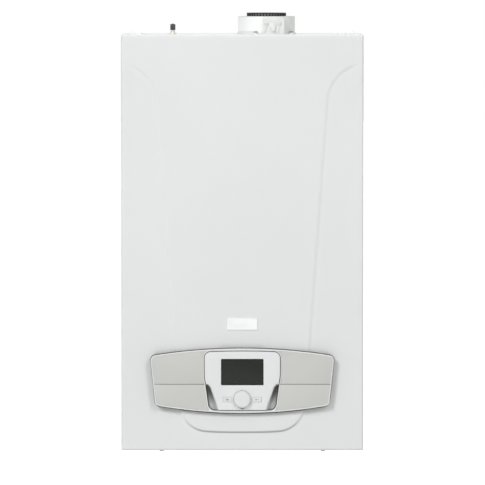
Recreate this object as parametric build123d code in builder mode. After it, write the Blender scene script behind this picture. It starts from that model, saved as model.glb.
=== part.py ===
"""Wall-hung condensing combi boiler, built as separate pieces.

The origin lies on the wall, midway between the two holes of the hanging bracket.
X runs to the right as seen from the room, -Y points out of the front and Z is up.
Heights are given above the casing's lower edge, depths are distances from the wall.
"""

import math
import os

from build123d import *

# Casing
CASE_WIDTH = 450.0
CASE_HEIGHT = 772.0
CASE_DEPTH = 345.0
SHEET = 1.2
BRACKET_LEVEL = 700.0
COVER_FLANGE = 32.0
COVER_SEAM = 1.0
FIT = 0.5
TOUCH = 0.3
RUNNING = 0.05

# Raised field pressed into the front cover
FIELD_RAISE = 4.0
SHOULDER_EDGE_DROP = 44.0
SHOULDER_X = 158.0
SHOULDER_DROP = 78.0
SHOULDER_RADIUS = 75.0
FOOT_X = 111.0
FOOT_HEIGHT = 39.0
FOOT_SAG = 4.7
FOOT_RADIUS = 50.0

# Control panel on the front
PANEL_HALF_TOP = 171.3
PANEL_HALF_FOOT = 161.5
PANEL_TOP_CORNER = 176.5
PANEL_TOP_CROWN = 190.7
PANEL_FOOT_CORNER = 84.6
PANEL_FOOT_CROWN = 70.5
PANEL_CORNER_RADIUS = 10.0
PANEL_GAP = 0.9
PANEL_PROUD = 11.0
PANEL_BOW_RADIUS = 2600.0
PANEL_RIM = 2.6
WING_SUNK = 0.8
WING_GROOVE_HEIGHT = 124.0
WING_GROOVE = 1.0

# Removable control unit in the middle of the panel
UNIT_HALF_TOP = 70.8
UNIT_HALF_WAIST = 70.4
UNIT_WAIST_HEIGHT = 140.0
UNIT_HALF_FOOT = 61.5
UNIT_TOP_CORNER = 184.5
UNIT_TOP_CROWN = 186.0
UNIT_FOOT = 75.8
UNIT_TOP_RADIUS = 12.0
UNIT_FOOT_RADIUS = 13.0
UNIT_PROUD = 4.0
UNIT_THICK = 26.0
UNIT_WALL = 2.0
UNIT_BACK_THICK = 4.0
UNIT_TRAVEL = 45.0
WINDOW_WIDTH = 79.0
WINDOW_HEIGHT = 49.0
WINDOW_LEVEL = 147.0
GLASS_LAP = 2.5
GLASS_THICK = 1.5
BUTTON_WIDTH = 16.0
BUTTON_HEIGHT = 8.7
BUTTON_X = 27.7
BUTTON_TRAVEL = 0.8
BUTTON_PROUD = 1.3
KNOB_RADIUS = 16.2
KNOB_FACE_RADIUS = 13.8
KNOB_PROUD = 9.0
KNOB_LEVEL = 96.3
KNOB_TRAVEL = 0.8
SPINDLE_RADIUS = 3.0

# Plate on the front, left bare
BADGE_WIDTH = 57.0
BADGE_HEIGHT = 22.0
BADGE_THICK = 2.0
BADGE_LEVEL = 235.8

# Flue and vent on top
FLUE_X = 45.5
FLUE_DEPTH = 155.0
FLUE_RADIUS = 30.0
FLUE_WALL = 2.0
COLLAR_RADIUS = 53.6
COLLAR_HEIGHT = 33.5
COLLAR_WALL = 3.0
CROWN_RADIUS = 37.0
CROWN_HEIGHT = 6.5
CROWN_TEETH = 38
VENT_X = -130.6
VENT_DEPTH = 170.0

# Primary heat exchanger
SHELL_LEVEL = 500.0
SHELL_RADIUS = 118.0
SHELL_WALL = 4.0
SHELL_BACK = 62.0
SHELL_FRONT = 226.0
DOOR_THICK = 8.0
DOOR_GASKET = 3.0
COIL_RADIUS = 82.0
COIL_TUBE = 8.0
COIL_TURNS = 7
BURNER_RADIUS = 34.0
BURNER_LENGTH = 96.0

# Fan
FAN_X = 130.0
FAN_LEVEL = 395.0
FAN_RADIUS = 66.0
FAN_WALL = 2.5
FAN_BACK = 238.0
FAN_WIDE = 46.0
WHEEL_RADIUS = 52.0
WHEEL_BLADES = 24

# Hydraulics
PLATE_LEVEL = 56.0
TAIL_DEPTH = 92.0
TAIL_SPACING = 65.0
TAIL_END = 8.0
THREE_QUARTER_RADIUS = 13.2
HALF_INCH_RADIUS = 10.4
PIPE_RADIUS = 9.0
PUMP_X = 130.0
PUMP_LEVEL = 170.0
PUMP_VOLUTE_RADIUS = 46.0
PUMP_VOLUTE_WIDE = 34.0
PUMP_BACK = 80.0
PUMP_MOTOR_RADIUS = 42.0
PUMP_MOTOR_LONG = 82.0
IMPELLER_RADIUS = 34.0

# Control box behind the panel
BOX_HALF_WIDTH = 158.0
BOX_FOOT = 90.0
BOX_TOP = 172.0
BOX_BACK = 236.0
BOX_WALL = 2.5


def level(height):
    """Z of a height above the casing's lower edge."""
    return height - BRACKET_LEVEL


def front(depth):
    """Plane facing the room at a depth from the wall, with X across and height up."""
    return Plane(origin=(0, -depth, level(0)), x_dir=(1, 0, 0), z_dir=(0, -1, 0))


def floor(height):
    """Plane facing up at a height, with X across and Y towards the wall."""
    return Plane.XY.offset(level(height))


def flank(x):
    """Plane facing right at X, with Y across and height up."""
    return Plane(origin=(x, 0, level(0)), x_dir=(0, 1, 0), z_dir=(1, 0, 0))


def save(piece, label):
    """Names a finished piece and writes it to its own file."""
    piece.label = label
    export_step(piece, f"parts/{label}.step")


os.makedirs("parts", exist_ok=True)

SIDE_FACE = CASE_DEPTH - FIELD_RAISE
COVER_BACK = SIDE_FACE - COVER_FLANGE
SIDE_PANEL_DEPTH = COVER_BACK - COVER_SEAM
HALF = CASE_WIDTH / 2
PANEL_FACE = CASE_DEPTH + PANEL_PROUD
UNIT_FACE = PANEL_FACE + UNIT_PROUD
UNIT_REAR = UNIT_FACE - UNIT_THICK


# Shared outlines


def field_outline():
    """Outline of the raised field: full width at the top, then a slow taper to a rounded foot."""
    shoulder = CASE_HEIGHT - SHOULDER_DROP
    edge = CASE_HEIGHT - SHOULDER_EDGE_DROP
    with BuildSketch() as outline:
        with BuildLine():
            Polyline(
                (-FOOT_X, FOOT_HEIGHT),
                (-SHOULDER_X, shoulder),
                (-HALF, edge),
                (-HALF, CASE_HEIGHT),
                (HALF, CASE_HEIGHT),
                (HALF, edge),
                (SHOULDER_X, shoulder),
                (FOOT_X, FOOT_HEIGHT),
            )
            ThreePointArc((FOOT_X, FOOT_HEIGHT), (0, FOOT_HEIGHT - FOOT_SAG), (-FOOT_X, FOOT_HEIGHT))
        make_face()
        shoulders = [v for v in outline.vertices() if abs(v.Y - shoulder) < FIT]
        fillet(shoulders, SHOULDER_RADIUS)
        feet = [v for v in outline.vertices() if abs(v.Y - FOOT_HEIGHT) < FIT]
        fillet(feet, FOOT_RADIUS)
    return outline.sketch


def panel_outline():
    """Barrel-shaped outline of the control panel."""
    with BuildSketch() as outline:
        with BuildLine():
            ThreePointArc(
                (-PANEL_HALF_TOP, PANEL_TOP_CORNER), (0, PANEL_TOP_CROWN), (PANEL_HALF_TOP, PANEL_TOP_CORNER)
            )
            Line((PANEL_HALF_TOP, PANEL_TOP_CORNER), (PANEL_HALF_FOOT, PANEL_FOOT_CORNER))
            ThreePointArc(
                (PANEL_HALF_FOOT, PANEL_FOOT_CORNER), (0, PANEL_FOOT_CROWN), (-PANEL_HALF_FOOT, PANEL_FOOT_CORNER)
            )
            Line((-PANEL_HALF_FOOT, PANEL_FOOT_CORNER), (-PANEL_HALF_TOP, PANEL_TOP_CORNER))
        make_face()
        fillet(outline.vertices(), PANEL_CORNER_RADIUS)
    return outline.sketch


def unit_outline():
    """Outline of the removable control unit: a rounded tray that narrows towards its foot."""
    with BuildSketch() as outline:
        with BuildLine():
            ThreePointArc((-UNIT_HALF_TOP, UNIT_TOP_CORNER), (0, UNIT_TOP_CROWN), (UNIT_HALF_TOP, UNIT_TOP_CORNER))
            Polyline(
                (UNIT_HALF_TOP, UNIT_TOP_CORNER),
                (UNIT_HALF_WAIST, UNIT_WAIST_HEIGHT),
                (UNIT_HALF_FOOT, UNIT_FOOT),
                (-UNIT_HALF_FOOT, UNIT_FOOT),
                (-UNIT_HALF_WAIST, UNIT_WAIST_HEIGHT),
                (-UNIT_HALF_TOP, UNIT_TOP_CORNER),
            )
        make_face()
        tops = [v for v in outline.vertices() if v.Y > UNIT_WAIST_HEIGHT + UNIT_TOP_RADIUS]
        fillet(tops, UNIT_TOP_RADIUS)
        feet = [v for v in outline.vertices() if v.Y < UNIT_FOOT + FIT]
        fillet(feet, UNIT_FOOT_RADIUS)
    return outline.sketch


FIELD = field_outline()
PANEL = panel_outline()
UNIT = unit_outline()


def grown(outline, amount):
    """The same outline, grown or shrunk all round."""
    return offset(outline, amount=amount, mode=Mode.PRIVATE)


def placed(outline, depth):
    """An outline laid on the plane that faces the room at a depth."""
    return front(depth) * outline


# Front cover: a shallow painted pan with a raised field and an opening for the panel

FIELD_INNER_SHRINK = SHEET * math.tan(math.radians(22.5))
CORNER_RADIUS = 5.0
FLANGE_SCREW_X = 150.0
SCREW_SHANK_RADIUS = 2.0
SCREW_HEAD_RADIUS = 4.2
SCREW_HEAD_THICK = 2.2
FLANGE_SCREW_DEPTH = COVER_BACK + COVER_FLANGE / 2

with BuildPart() as front_cover:
    with BuildSketch(front(COVER_BACK)):
        with Locations((0, CASE_HEIGHT / 2)):
            Rectangle(CASE_WIDTH, CASE_HEIGHT)
    extrude(amount=COVER_FLANGE)
    front_edges = front_cover.edges().group_by(Axis.Y)[0]
    fillet(front_edges, FIELD_RAISE)
    extrude(placed(FIELD, SIDE_FACE - FIT), amount=FIT)
    extrude(placed(FIELD, SIDE_FACE), amount=FIELD_RAISE, taper=45)
    with BuildSketch(front(COVER_BACK)):
        with Locations((0, CASE_HEIGHT / 2)):
            Rectangle(CASE_WIDTH - 2 * SHEET, CASE_HEIGHT - 2 * SHEET)
    extrude(amount=COVER_FLANGE - SHEET, mode=Mode.SUBTRACT)
    inner_field = grown(FIELD, -SHEET - FIELD_INNER_SHRINK)
    extrude(placed(inner_field, SIDE_FACE - SHEET - FIT), amount=FIT, mode=Mode.SUBTRACT)
    extrude(placed(inner_field, SIDE_FACE - SHEET), amount=FIELD_RAISE, taper=45, mode=Mode.SUBTRACT)
    extrude(placed(grown(PANEL, PANEL_GAP), COVER_BACK), amount=COVER_FLANGE + FIELD_RAISE, mode=Mode.SUBTRACT)
    with Locations(floor(0)):
        with Locations((-FLANGE_SCREW_X, -FLANGE_SCREW_DEPTH), (FLANGE_SCREW_X, -FLANGE_SCREW_DEPTH)):
            Cylinder(SCREW_SHANK_RADIUS + FIT, 4 * SHEET, mode=Mode.SUBTRACT)
save(front_cover.part, "front_cover")

with BuildPart() as cover_screws:
    with Locations(floor(0)):
        with Locations((-FLANGE_SCREW_X, -FLANGE_SCREW_DEPTH), (FLANGE_SCREW_X, -FLANGE_SCREW_DEPTH)):
            Cylinder(SCREW_HEAD_RADIUS, SCREW_HEAD_THICK, align=(Align.CENTER, Align.CENTER, Align.MAX))
            Cylinder(SCREW_SHANK_RADIUS, SHEET, align=(Align.CENTER, Align.CENTER, Align.MIN))
save(cover_screws.part, "cover_screws")

with BuildPart() as badge_plate:
    with BuildSketch(front(CASE_DEPTH)):
        with Locations((0, BADGE_LEVEL)):
            RectangleRounded(BADGE_WIDTH, BADGE_HEIGHT, 2.0)
    extrude(amount=BADGE_THICK)
    fillet(badge_plate.edges().group_by(Axis.Y)[0], 0.6)
save(badge_plate.part, "badge_plate")

# Foam seal stuck to the inside of the cover, and the frame that it presses on

FRAME_BACK = SIDE_PANEL_DEPTH - 14.0
FRAME_STEP = SIDE_PANEL_DEPTH - 1.0
FRAME_FRONT = SIDE_FACE - 12.0
FRAME_LIP = 14.0
SEAL_WIDE = 10.0


def ring_outline(inset, width):
    """Rectangular ring that follows the casing, its outer edge inset from the casing's outside."""
    with BuildSketch() as ring:
        with Locations((0, CASE_HEIGHT / 2)):
            Rectangle(CASE_WIDTH - 2 * inset, CASE_HEIGHT - 2 * inset)
            Rectangle(CASE_WIDTH - 2 * inset - 2 * width, CASE_HEIGHT - 2 * inset - 2 * width, mode=Mode.SUBTRACT)
    return ring.sketch


with BuildPart() as cover_seal:
    seal_back = FRAME_FRONT + TOUCH
    extrude(placed(ring_outline(SHEET + FIT, SEAL_WIDE), seal_back), amount=SIDE_FACE - SHEET - seal_back)
save(cover_seal.part, "cover_seal")

with BuildPart() as front_frame:
    extrude(placed(ring_outline(SHEET, SHEET + FIT), FRAME_BACK), amount=FRAME_STEP - FRAME_BACK)
    extrude(placed(ring_outline(SHEET + FIT, SHEET), FRAME_STEP), amount=FRAME_FRONT - FRAME_STEP)
    extrude(placed(ring_outline(SHEET + FIT, FRAME_LIP), FRAME_FRONT - SHEET), amount=SHEET)
save(front_frame.part, "front_frame")

# Side panels, top panel, back panel and hanging bracket

REAR_LIP = 16.0
BACK_PLANE = 14.0
TOP_LIP = 12.0

for side, name in ((-1, "left_side_panel"), (1, "right_side_panel")):
    with BuildPart() as side_panel:
        with BuildSketch(front(0)):
            with Locations((side * (HALF - SHEET / 2), CASE_HEIGHT / 2)):
                Rectangle(SHEET, CASE_HEIGHT)
        extrude(amount=SIDE_PANEL_DEPTH)
        with BuildSketch(front(0)):
            with Locations((side * (HALF - REAR_LIP / 2), CASE_HEIGHT / 2)):
                Rectangle(REAR_LIP, CASE_HEIGHT)
        extrude(amount=SHEET)
    save(side_panel.part, name)

with BuildPart() as top_panel:
    with BuildSketch(floor(CASE_HEIGHT - SHEET)):
        with Locations((0, -(SIDE_PANEL_DEPTH + SHEET) / 2)):
            Rectangle(CASE_WIDTH - 2 * SHEET, SIDE_PANEL_DEPTH - SHEET)
    extrude(amount=SHEET)
    with BuildSketch(front(SHEET)):
        with Locations((0, CASE_HEIGHT - SHEET - TOP_LIP / 2)):
            Rectangle(CASE_WIDTH - 2 * REAR_LIP - 2 * FIT, TOP_LIP)
    extrude(amount=SHEET)
    with Locations(floor(CASE_HEIGHT)):
        with Locations((FLUE_X, -FLUE_DEPTH)):
            Cylinder(COLLAR_RADIUS - COLLAR_WALL, 4 * SHEET, mode=Mode.SUBTRACT)
        with Locations((VENT_X, -VENT_DEPTH)):
            Cylinder(6.0, 4 * SHEET, mode=Mode.SUBTRACT)
save(top_panel.part, "top_panel")

BRACKET_WIDTH = 280.0
BRACKET_TALL = 60.0
BRACKET_STEEL = 2.0
BRACKET_HOLE_RADIUS = 4.5
BRACKET_HOLE_SPACING = 200.0
HOOK_WIDTH = 50.0
HOOK_X = 105.0
HOOK_RISE = 12.0
HOOK_REACH = BACK_PLANE + SHEET + TOUCH + BRACKET_STEEL
SLOT_CLEAR = 1.0

with BuildPart() as hanging_bracket:
    with BuildSketch(front(0)):
        with Locations((0, BRACKET_LEVEL)):
            RectangleRounded(BRACKET_WIDTH, BRACKET_TALL, 6)
        with Locations((0, BRACKET_LEVEL)):
            with GridLocations(BRACKET_HOLE_SPACING, 0, 2, 1):
                Circle(BRACKET_HOLE_RADIUS, mode=Mode.SUBTRACT)
    extrude(amount=BRACKET_STEEL)
    for x in (-HOOK_X, HOOK_X):
        shelf = BRACKET_LEVEL + BRACKET_TALL / 2 - BRACKET_STEEL
        with BuildSketch(front(0)):
            with Locations((x, shelf + BRACKET_STEEL / 2)):
                Rectangle(HOOK_WIDTH, BRACKET_STEEL)
        extrude(amount=HOOK_REACH)
        with BuildSketch(front(HOOK_REACH - BRACKET_STEEL)):
            with Locations((x, shelf + HOOK_RISE / 2)):
                Rectangle(HOOK_WIDTH, HOOK_RISE)
        extrude(amount=BRACKET_STEEL)
save(hanging_bracket.part, "hanging_bracket")

BACK_FOOT = PLATE_LEVEL
BACK_HALF = HALF - SHEET
SLOT_TOP = BRACKET_LEVEL + BRACKET_TALL / 2
SLOT_TALL = HOOK_RISE + 4.0

with BuildPart() as back_panel:
    with BuildSketch(front(BACK_PLANE)):
        with Locations((0, (BACK_FOOT + CASE_HEIGHT - SHEET) / 2)):
            Rectangle(2 * BACK_HALF, CASE_HEIGHT - SHEET - BACK_FOOT)
        with Locations((0, SLOT_TOP - SLOT_TALL / 2)):
            with GridLocations(2 * HOOK_X, 0, 2, 1):
                Rectangle(HOOK_WIDTH + 2 * SLOT_CLEAR, SLOT_TALL, mode=Mode.SUBTRACT)
    extrude(amount=SHEET)
save(back_panel.part, "back_panel")

# Bottom plate that carries the pipe tails, with turned-down edges

PLATE_DEPTH = 190.0
PLATE_STEEL = 2.0
PLATE_LIP = 14.0
TAILS = [
    (-2 * TAIL_SPACING, THREE_QUARTER_RADIUS),
    (-TAIL_SPACING, HALF_INCH_RADIUS),
    (0, THREE_QUARTER_RADIUS),
    (TAIL_SPACING, HALF_INCH_RADIUS),
    (2 * TAIL_SPACING, THREE_QUARTER_RADIUS),
]
TRAP_X = -178.0
TRAP_DEPTH = 150.0
TRAP_RADIUS = 26.0
TRAP_FOOT = PLATE_LEVEL + PLATE_STEEL + TOUCH
TRAP_TALL = 112.0
DRAIN_RADIUS = 10.75
RELIEF_X = 186.0
RELIEF_DEPTH = 150.0
RELIEF_LEVEL = 96.0
DISCHARGE_RADIUS = 7.5
RUBBER_GAP = 0.3
NUT_FOOT = 47.0
NUT_LAP = 3.5
NECK_STEP = 0.5

with BuildPart() as bottom_plate:
    with BuildSketch(floor(PLATE_LEVEL)):
        with Locations((0, -(BACK_PLANE + SHEET + PLATE_DEPTH) / 2)):
            Rectangle(2 * BACK_HALF, PLATE_DEPTH - BACK_PLANE - SHEET)
        for x, radius in TAILS:
            with Locations((x, -TAIL_DEPTH)):
                Circle(radius + RUBBER_GAP, mode=Mode.SUBTRACT)
        with Locations((TRAP_X, -TRAP_DEPTH)):
            Circle(DRAIN_RADIUS + RUBBER_GAP, mode=Mode.SUBTRACT)
        with Locations((RELIEF_X, -RELIEF_DEPTH)):
            Circle(DISCHARGE_RADIUS + RUBBER_GAP, mode=Mode.SUBTRACT)
    extrude(amount=PLATE_STEEL)
    with BuildSketch(front(PLATE_DEPTH - PLATE_STEEL)):
        with Locations((0, PLATE_LEVEL - PLATE_LIP / 2)):
            Rectangle(2 * BACK_HALF, PLATE_LIP)
    extrude(amount=PLATE_STEEL)
save(bottom_plate.part, "bottom_plate")

# Pipe tails: threaded ends below the plate, a hexagon under it and a spigot above

HEX_THICK = 9.0
SPIGOT_TOP = PLATE_LEVEL + PLATE_STEEL + 8.0
HEX_LAP = 4.5
TAIL_WALL = 2.6

with BuildPart() as pipe_tails:
    for x, radius in TAILS:
        with BuildSketch(floor(TAIL_END)):
            with Locations((x, -TAIL_DEPTH)):
                Circle(radius)
        extrude(amount=SPIGOT_TOP - TAIL_END)
        with BuildSketch(floor(PLATE_LEVEL - HEX_THICK)):
            with Locations((x, -TAIL_DEPTH)):
                RegularPolygon(radius + HEX_LAP, 6)
        extrude(amount=HEX_THICK)
        with BuildSketch(floor(TAIL_END)):
            with Locations((x, -TAIL_DEPTH)):
                Circle(radius - TAIL_WALL)
        extrude(amount=SPIGOT_TOP - TAIL_END, mode=Mode.SUBTRACT)
save(pipe_tails.part, "pipe_tails")

# Flue adaptor on the top panel, its toothed seal, sampling plugs and screws

COLLAR_FLANGE = 2.0
COLLAR_FLANGE_THICK = 3.0
COLLAR_FOOT = CASE_HEIGHT
COLLAR_TOP = COLLAR_FOOT + COLLAR_HEIGHT
BOSS_X = 13.2
BOSS_WIDE = 39.6
SAMPLE_X = (-1.9, 22.4)
SAMPLE_RADIUS = 3.6
SAMPLE_LEVEL = COLLAR_FOOT + 21.0
BOSS_FACE = FLUE_DEPTH + COLLAR_RADIUS + 5.0
SOCKET_RADIUS = FLUE_RADIUS + FIT
STOP_THICK = 2.0
SKIRT_DEEP = 12.0
SKIRT_BORE = FLUE_RADIUS + 1.0
EAR_CIRCLE = COLLAR_RADIUS + 4.5
EAR_RADIUS = 5.5
EAR_ANGLES = (-36.0, -111.0)

with BuildPart() as flue_adaptor:
    with BuildSketch(floor(COLLAR_FOOT)):
        with Locations((FLUE_X, -FLUE_DEPTH)):
            Circle(COLLAR_RADIUS + COLLAR_FLANGE)
            for angle in EAR_ANGLES:
                with PolarLocations(EAR_CIRCLE, 2, start_angle=angle):
                    Circle(EAR_RADIUS)
    extrude(amount=COLLAR_FLANGE_THICK)
    with BuildSketch(floor(COLLAR_FOOT)):
        with Locations((FLUE_X, -FLUE_DEPTH)):
            Circle(COLLAR_RADIUS)
    extrude(amount=COLLAR_HEIGHT)
    with BuildSketch(floor(COLLAR_FOOT)):
        with Locations((FLUE_X + BOSS_X, -FLUE_DEPTH - COLLAR_RADIUS / 2)):
            Rectangle(BOSS_WIDE, 2 * (BOSS_FACE - FLUE_DEPTH - COLLAR_RADIUS / 2))
    extrude(amount=COLLAR_HEIGHT - 5)
    with BuildSketch(floor(COLLAR_FOOT)):
        with Locations((FLUE_X, -FLUE_DEPTH)):
            Circle(COLLAR_RADIUS - COLLAR_WALL)
    extrude(amount=COLLAR_HEIGHT, mode=Mode.SUBTRACT)
    with BuildSketch(floor(COLLAR_FOOT)):
        with Locations((FLUE_X, -FLUE_DEPTH)):
            Circle(SOCKET_RADIUS + FLUE_WALL)
            Circle(SOCKET_RADIUS, mode=Mode.SUBTRACT)
            with PolarLocations((SOCKET_RADIUS + COLLAR_RADIUS) / 2, 4, start_angle=45):
                Rectangle(COLLAR_RADIUS - SOCKET_RADIUS - 1, 2.4)
    extrude(amount=COLLAR_HEIGHT)
    with BuildSketch(floor(COLLAR_FOOT)):
        with Locations((FLUE_X, -FLUE_DEPTH)):
            Circle(SOCKET_RADIUS + FLUE_WALL)
            Circle(FLUE_RADIUS - FLUE_WALL, mode=Mode.SUBTRACT)
    extrude(amount=STOP_THICK)
    with BuildSketch(floor(COLLAR_FOOT - SKIRT_DEEP)):
        with Locations((FLUE_X, -FLUE_DEPTH)):
            Circle(SOCKET_RADIUS + FLUE_WALL)
            Circle(SKIRT_BORE, mode=Mode.SUBTRACT)
    extrude(amount=SKIRT_DEEP)
    with Locations(front(BOSS_FACE)):
        for x in SAMPLE_X:
            with Locations((FLUE_X + x, SAMPLE_LEVEL)):
                Cylinder(SAMPLE_RADIUS, 18, align=(Align.CENTER, Align.CENTER, Align.MAX), mode=Mode.SUBTRACT)
save(flue_adaptor.part, "flue_adaptor")

with BuildPart() as flue_crown:
    with BuildSketch(floor(COLLAR_TOP)):
        with Locations((FLUE_X, -FLUE_DEPTH)):
            Circle(CROWN_RADIUS)
            Circle(SOCKET_RADIUS, mode=Mode.SUBTRACT)
    extrude(amount=CROWN_HEIGHT)
    with BuildSketch(floor(COLLAR_TOP + 1.5)):
        with Locations((FLUE_X, -FLUE_DEPTH)):
            with PolarLocations(CROWN_RADIUS, CROWN_TEETH):
                Rectangle(5.0, 3.2)
    extrude(amount=CROWN_HEIGHT - 3.0, mode=Mode.SUBTRACT)
save(flue_crown.part, "flue_crown")

with BuildPart() as sampling_plugs:
    with Locations(front(BOSS_FACE)):
        for x in SAMPLE_X:
            with Locations((FLUE_X + x, SAMPLE_LEVEL)):
                Cylinder(SAMPLE_RADIUS - TOUCH, 12, align=(Align.CENTER, Align.CENTER, Align.MAX))
                Cylinder(SAMPLE_RADIUS + 1.4, 2.5, align=(Align.CENTER, Align.CENTER, Align.MIN))
                with Locations((0, 0, 2.5)):
                    Box(8, 2.0, 2.5, align=(Align.CENTER, Align.CENTER, Align.MIN))
save(sampling_plugs.part, "sampling_plugs")

with BuildPart() as adaptor_screws:
    with Locations(floor(COLLAR_FOOT + COLLAR_FLANGE_THICK)):
        with Locations((FLUE_X, -FLUE_DEPTH)):
            for angle in EAR_ANGLES:
                with PolarLocations(EAR_CIRCLE, 2, start_angle=angle):
                    Cylinder(3.2, 2.2, align=(Align.CENTER, Align.CENTER, Align.MIN))
save(adaptor_screws.part, "adaptor_screws")

# Catches on the top panel that the cover hooks behind

CATCH_WIDE = 42.0
CATCH_LONG = 22.0
CATCH_DEPTH = SIDE_PANEL_DEPTH - 26.0
CATCH_X = 200.0
CATCH_PIN_X = 207.0
CATCH_PIN_TALL = 7.5
CATCH_SCREW_X = 190.0

with BuildPart() as cover_catches:
    for side in (-1, 1):
        with BuildSketch(floor(CASE_HEIGHT)):
            with Locations((side * CATCH_X, -CATCH_DEPTH)):
                RectangleRounded(CATCH_WIDE, CATCH_LONG, 3)
        extrude(amount=SHEET)
        with BuildSketch(floor(CASE_HEIGHT)):
            with Locations((side * CATCH_PIN_X, -CATCH_DEPTH)):
                Rectangle(2.2, 8)
        extrude(amount=CATCH_PIN_TALL)
        with BuildSketch(floor(CASE_HEIGHT + SHEET)):
            with Locations((side * CATCH_SCREW_X, -CATCH_DEPTH)):
                Circle(3.4)
        extrude(amount=1.8)
save(cover_catches.part, "cover_catches")

# Bleed vent that stands on the top panel, with a hand-turned cap

VENT_SHAFT = 4.0
VENT_NECK_TOP = CASE_HEIGHT + 7.3
VENT_CAP_RADIUS = 4.9
VENT_CAP_TALL = 10.9
VENT_TAKE_OFF = SHELL_LEVEL + 60.0
VENT_PIPE_END = -104.0
VENT_PIN = 2.4


def at(x, depth, height):
    """Point given by X, its depth from the wall and its height above the casing's lower edge."""
    return (x, -depth, level(height))


def route(*points, bend=18.0):
    """Centre line of a bent pipe through points given as X, depth and height."""
    with BuildLine() as line:
        FilletPolyline(*[at(*point) for point in points], radius=bend)
    return line.line


def tube_section(line, radius, wall):
    """Ring laid square across the start of a centre line."""
    with BuildSketch(Plane(origin=line @ 0, z_dir=line % 0)) as section:
        Circle(radius)
        if wall:
            Circle(radius - wall, mode=Mode.SUBTRACT)
    return section.sketch


with BuildPart() as vent_body:
    vent_line = route(
        (VENT_X, VENT_DEPTH, VENT_NECK_TOP),
        (VENT_X, VENT_DEPTH, VENT_TAKE_OFF),
        (VENT_PIPE_END, VENT_DEPTH, VENT_TAKE_OFF),
    )
    sweep(tube_section(vent_line, VENT_SHAFT, 0), path=vent_line)
    with BuildSketch(floor(CASE_HEIGHT)):
        with Locations((VENT_X, -VENT_DEPTH)):
            Circle(VENT_SHAFT + 2.6)
    extrude(amount=2.5)
    with BuildSketch(floor(CASE_HEIGHT - SHEET - 6)):
        with Locations((VENT_X, -VENT_DEPTH)):
            RegularPolygon(2 * VENT_SHAFT, 6)
    extrude(amount=6)
    with BuildSketch(floor(VENT_NECK_TOP)):
        with Locations((VENT_X, -VENT_DEPTH)):
            Circle(VENT_PIN)
    extrude(amount=8)
save(vent_body.part, "vent_body")

with BuildPart() as vent_cap:
    with BuildSketch(floor(VENT_NECK_TOP + TOUCH)):
        with Locations((VENT_X, -VENT_DEPTH)):
            Circle(VENT_CAP_RADIUS)
            with PolarLocations(VENT_CAP_RADIUS, 12):
                Circle(0.8, mode=Mode.SUBTRACT)
    extrude(amount=VENT_CAP_TALL)
    with BuildSketch(floor(VENT_NECK_TOP + TOUCH + VENT_CAP_TALL)):
        with Locations((VENT_X, -VENT_DEPTH)):
            Circle(1.8)
    extrude(amount=1.2)
    with BuildSketch(floor(VENT_NECK_TOP)):
        with Locations((VENT_X, -VENT_DEPTH)):
            Circle(VENT_PIN + RUNNING)
    extrude(amount=8 + TOUCH, mode=Mode.SUBTRACT)
save(vent_cap.part, "vent_cap")

# Flue riser from the exchanger to the adaptor

SOCKET_WALL = 3.0
SHELL_SOCKET_SEAT = SHELL_LEVEL + SHELL_RADIUS + 18.0
SHELL_SOCKET_TOP = SHELL_SOCKET_SEAT + 20.0

with BuildPart() as flue_riser:
    with BuildSketch(floor(SHELL_SOCKET_SEAT)):
        with Locations((FLUE_X, -FLUE_DEPTH)):
            Circle(FLUE_RADIUS)
            Circle(FLUE_RADIUS - FLUE_WALL, mode=Mode.SUBTRACT)
    extrude(amount=COLLAR_FOOT - TOUCH - SHELL_SOCKET_SEAT)
save(flue_riser.part, "flue_riser")

# Primary exchanger: a drum with its axis towards the room, a coil inside and the burner in its door

COIL_BACK = 92.0
COIL_PITCH = 18.0
COIL_FRONT = COIL_BACK + (COIL_TURNS - 0.5) * COIL_PITCH
COIL_STUB = SHELL_RADIUS + 8.0
DRAIN_STUB_X = -60.0
DRAIN_STUB_FOOT = 380.0
DRAIN_STUB_RADIUS = 12.0
DRAIN_STUB_BORE = 8.0
SHELL_MIDDLE = (SHELL_BACK + SHELL_FRONT) / 2

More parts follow.
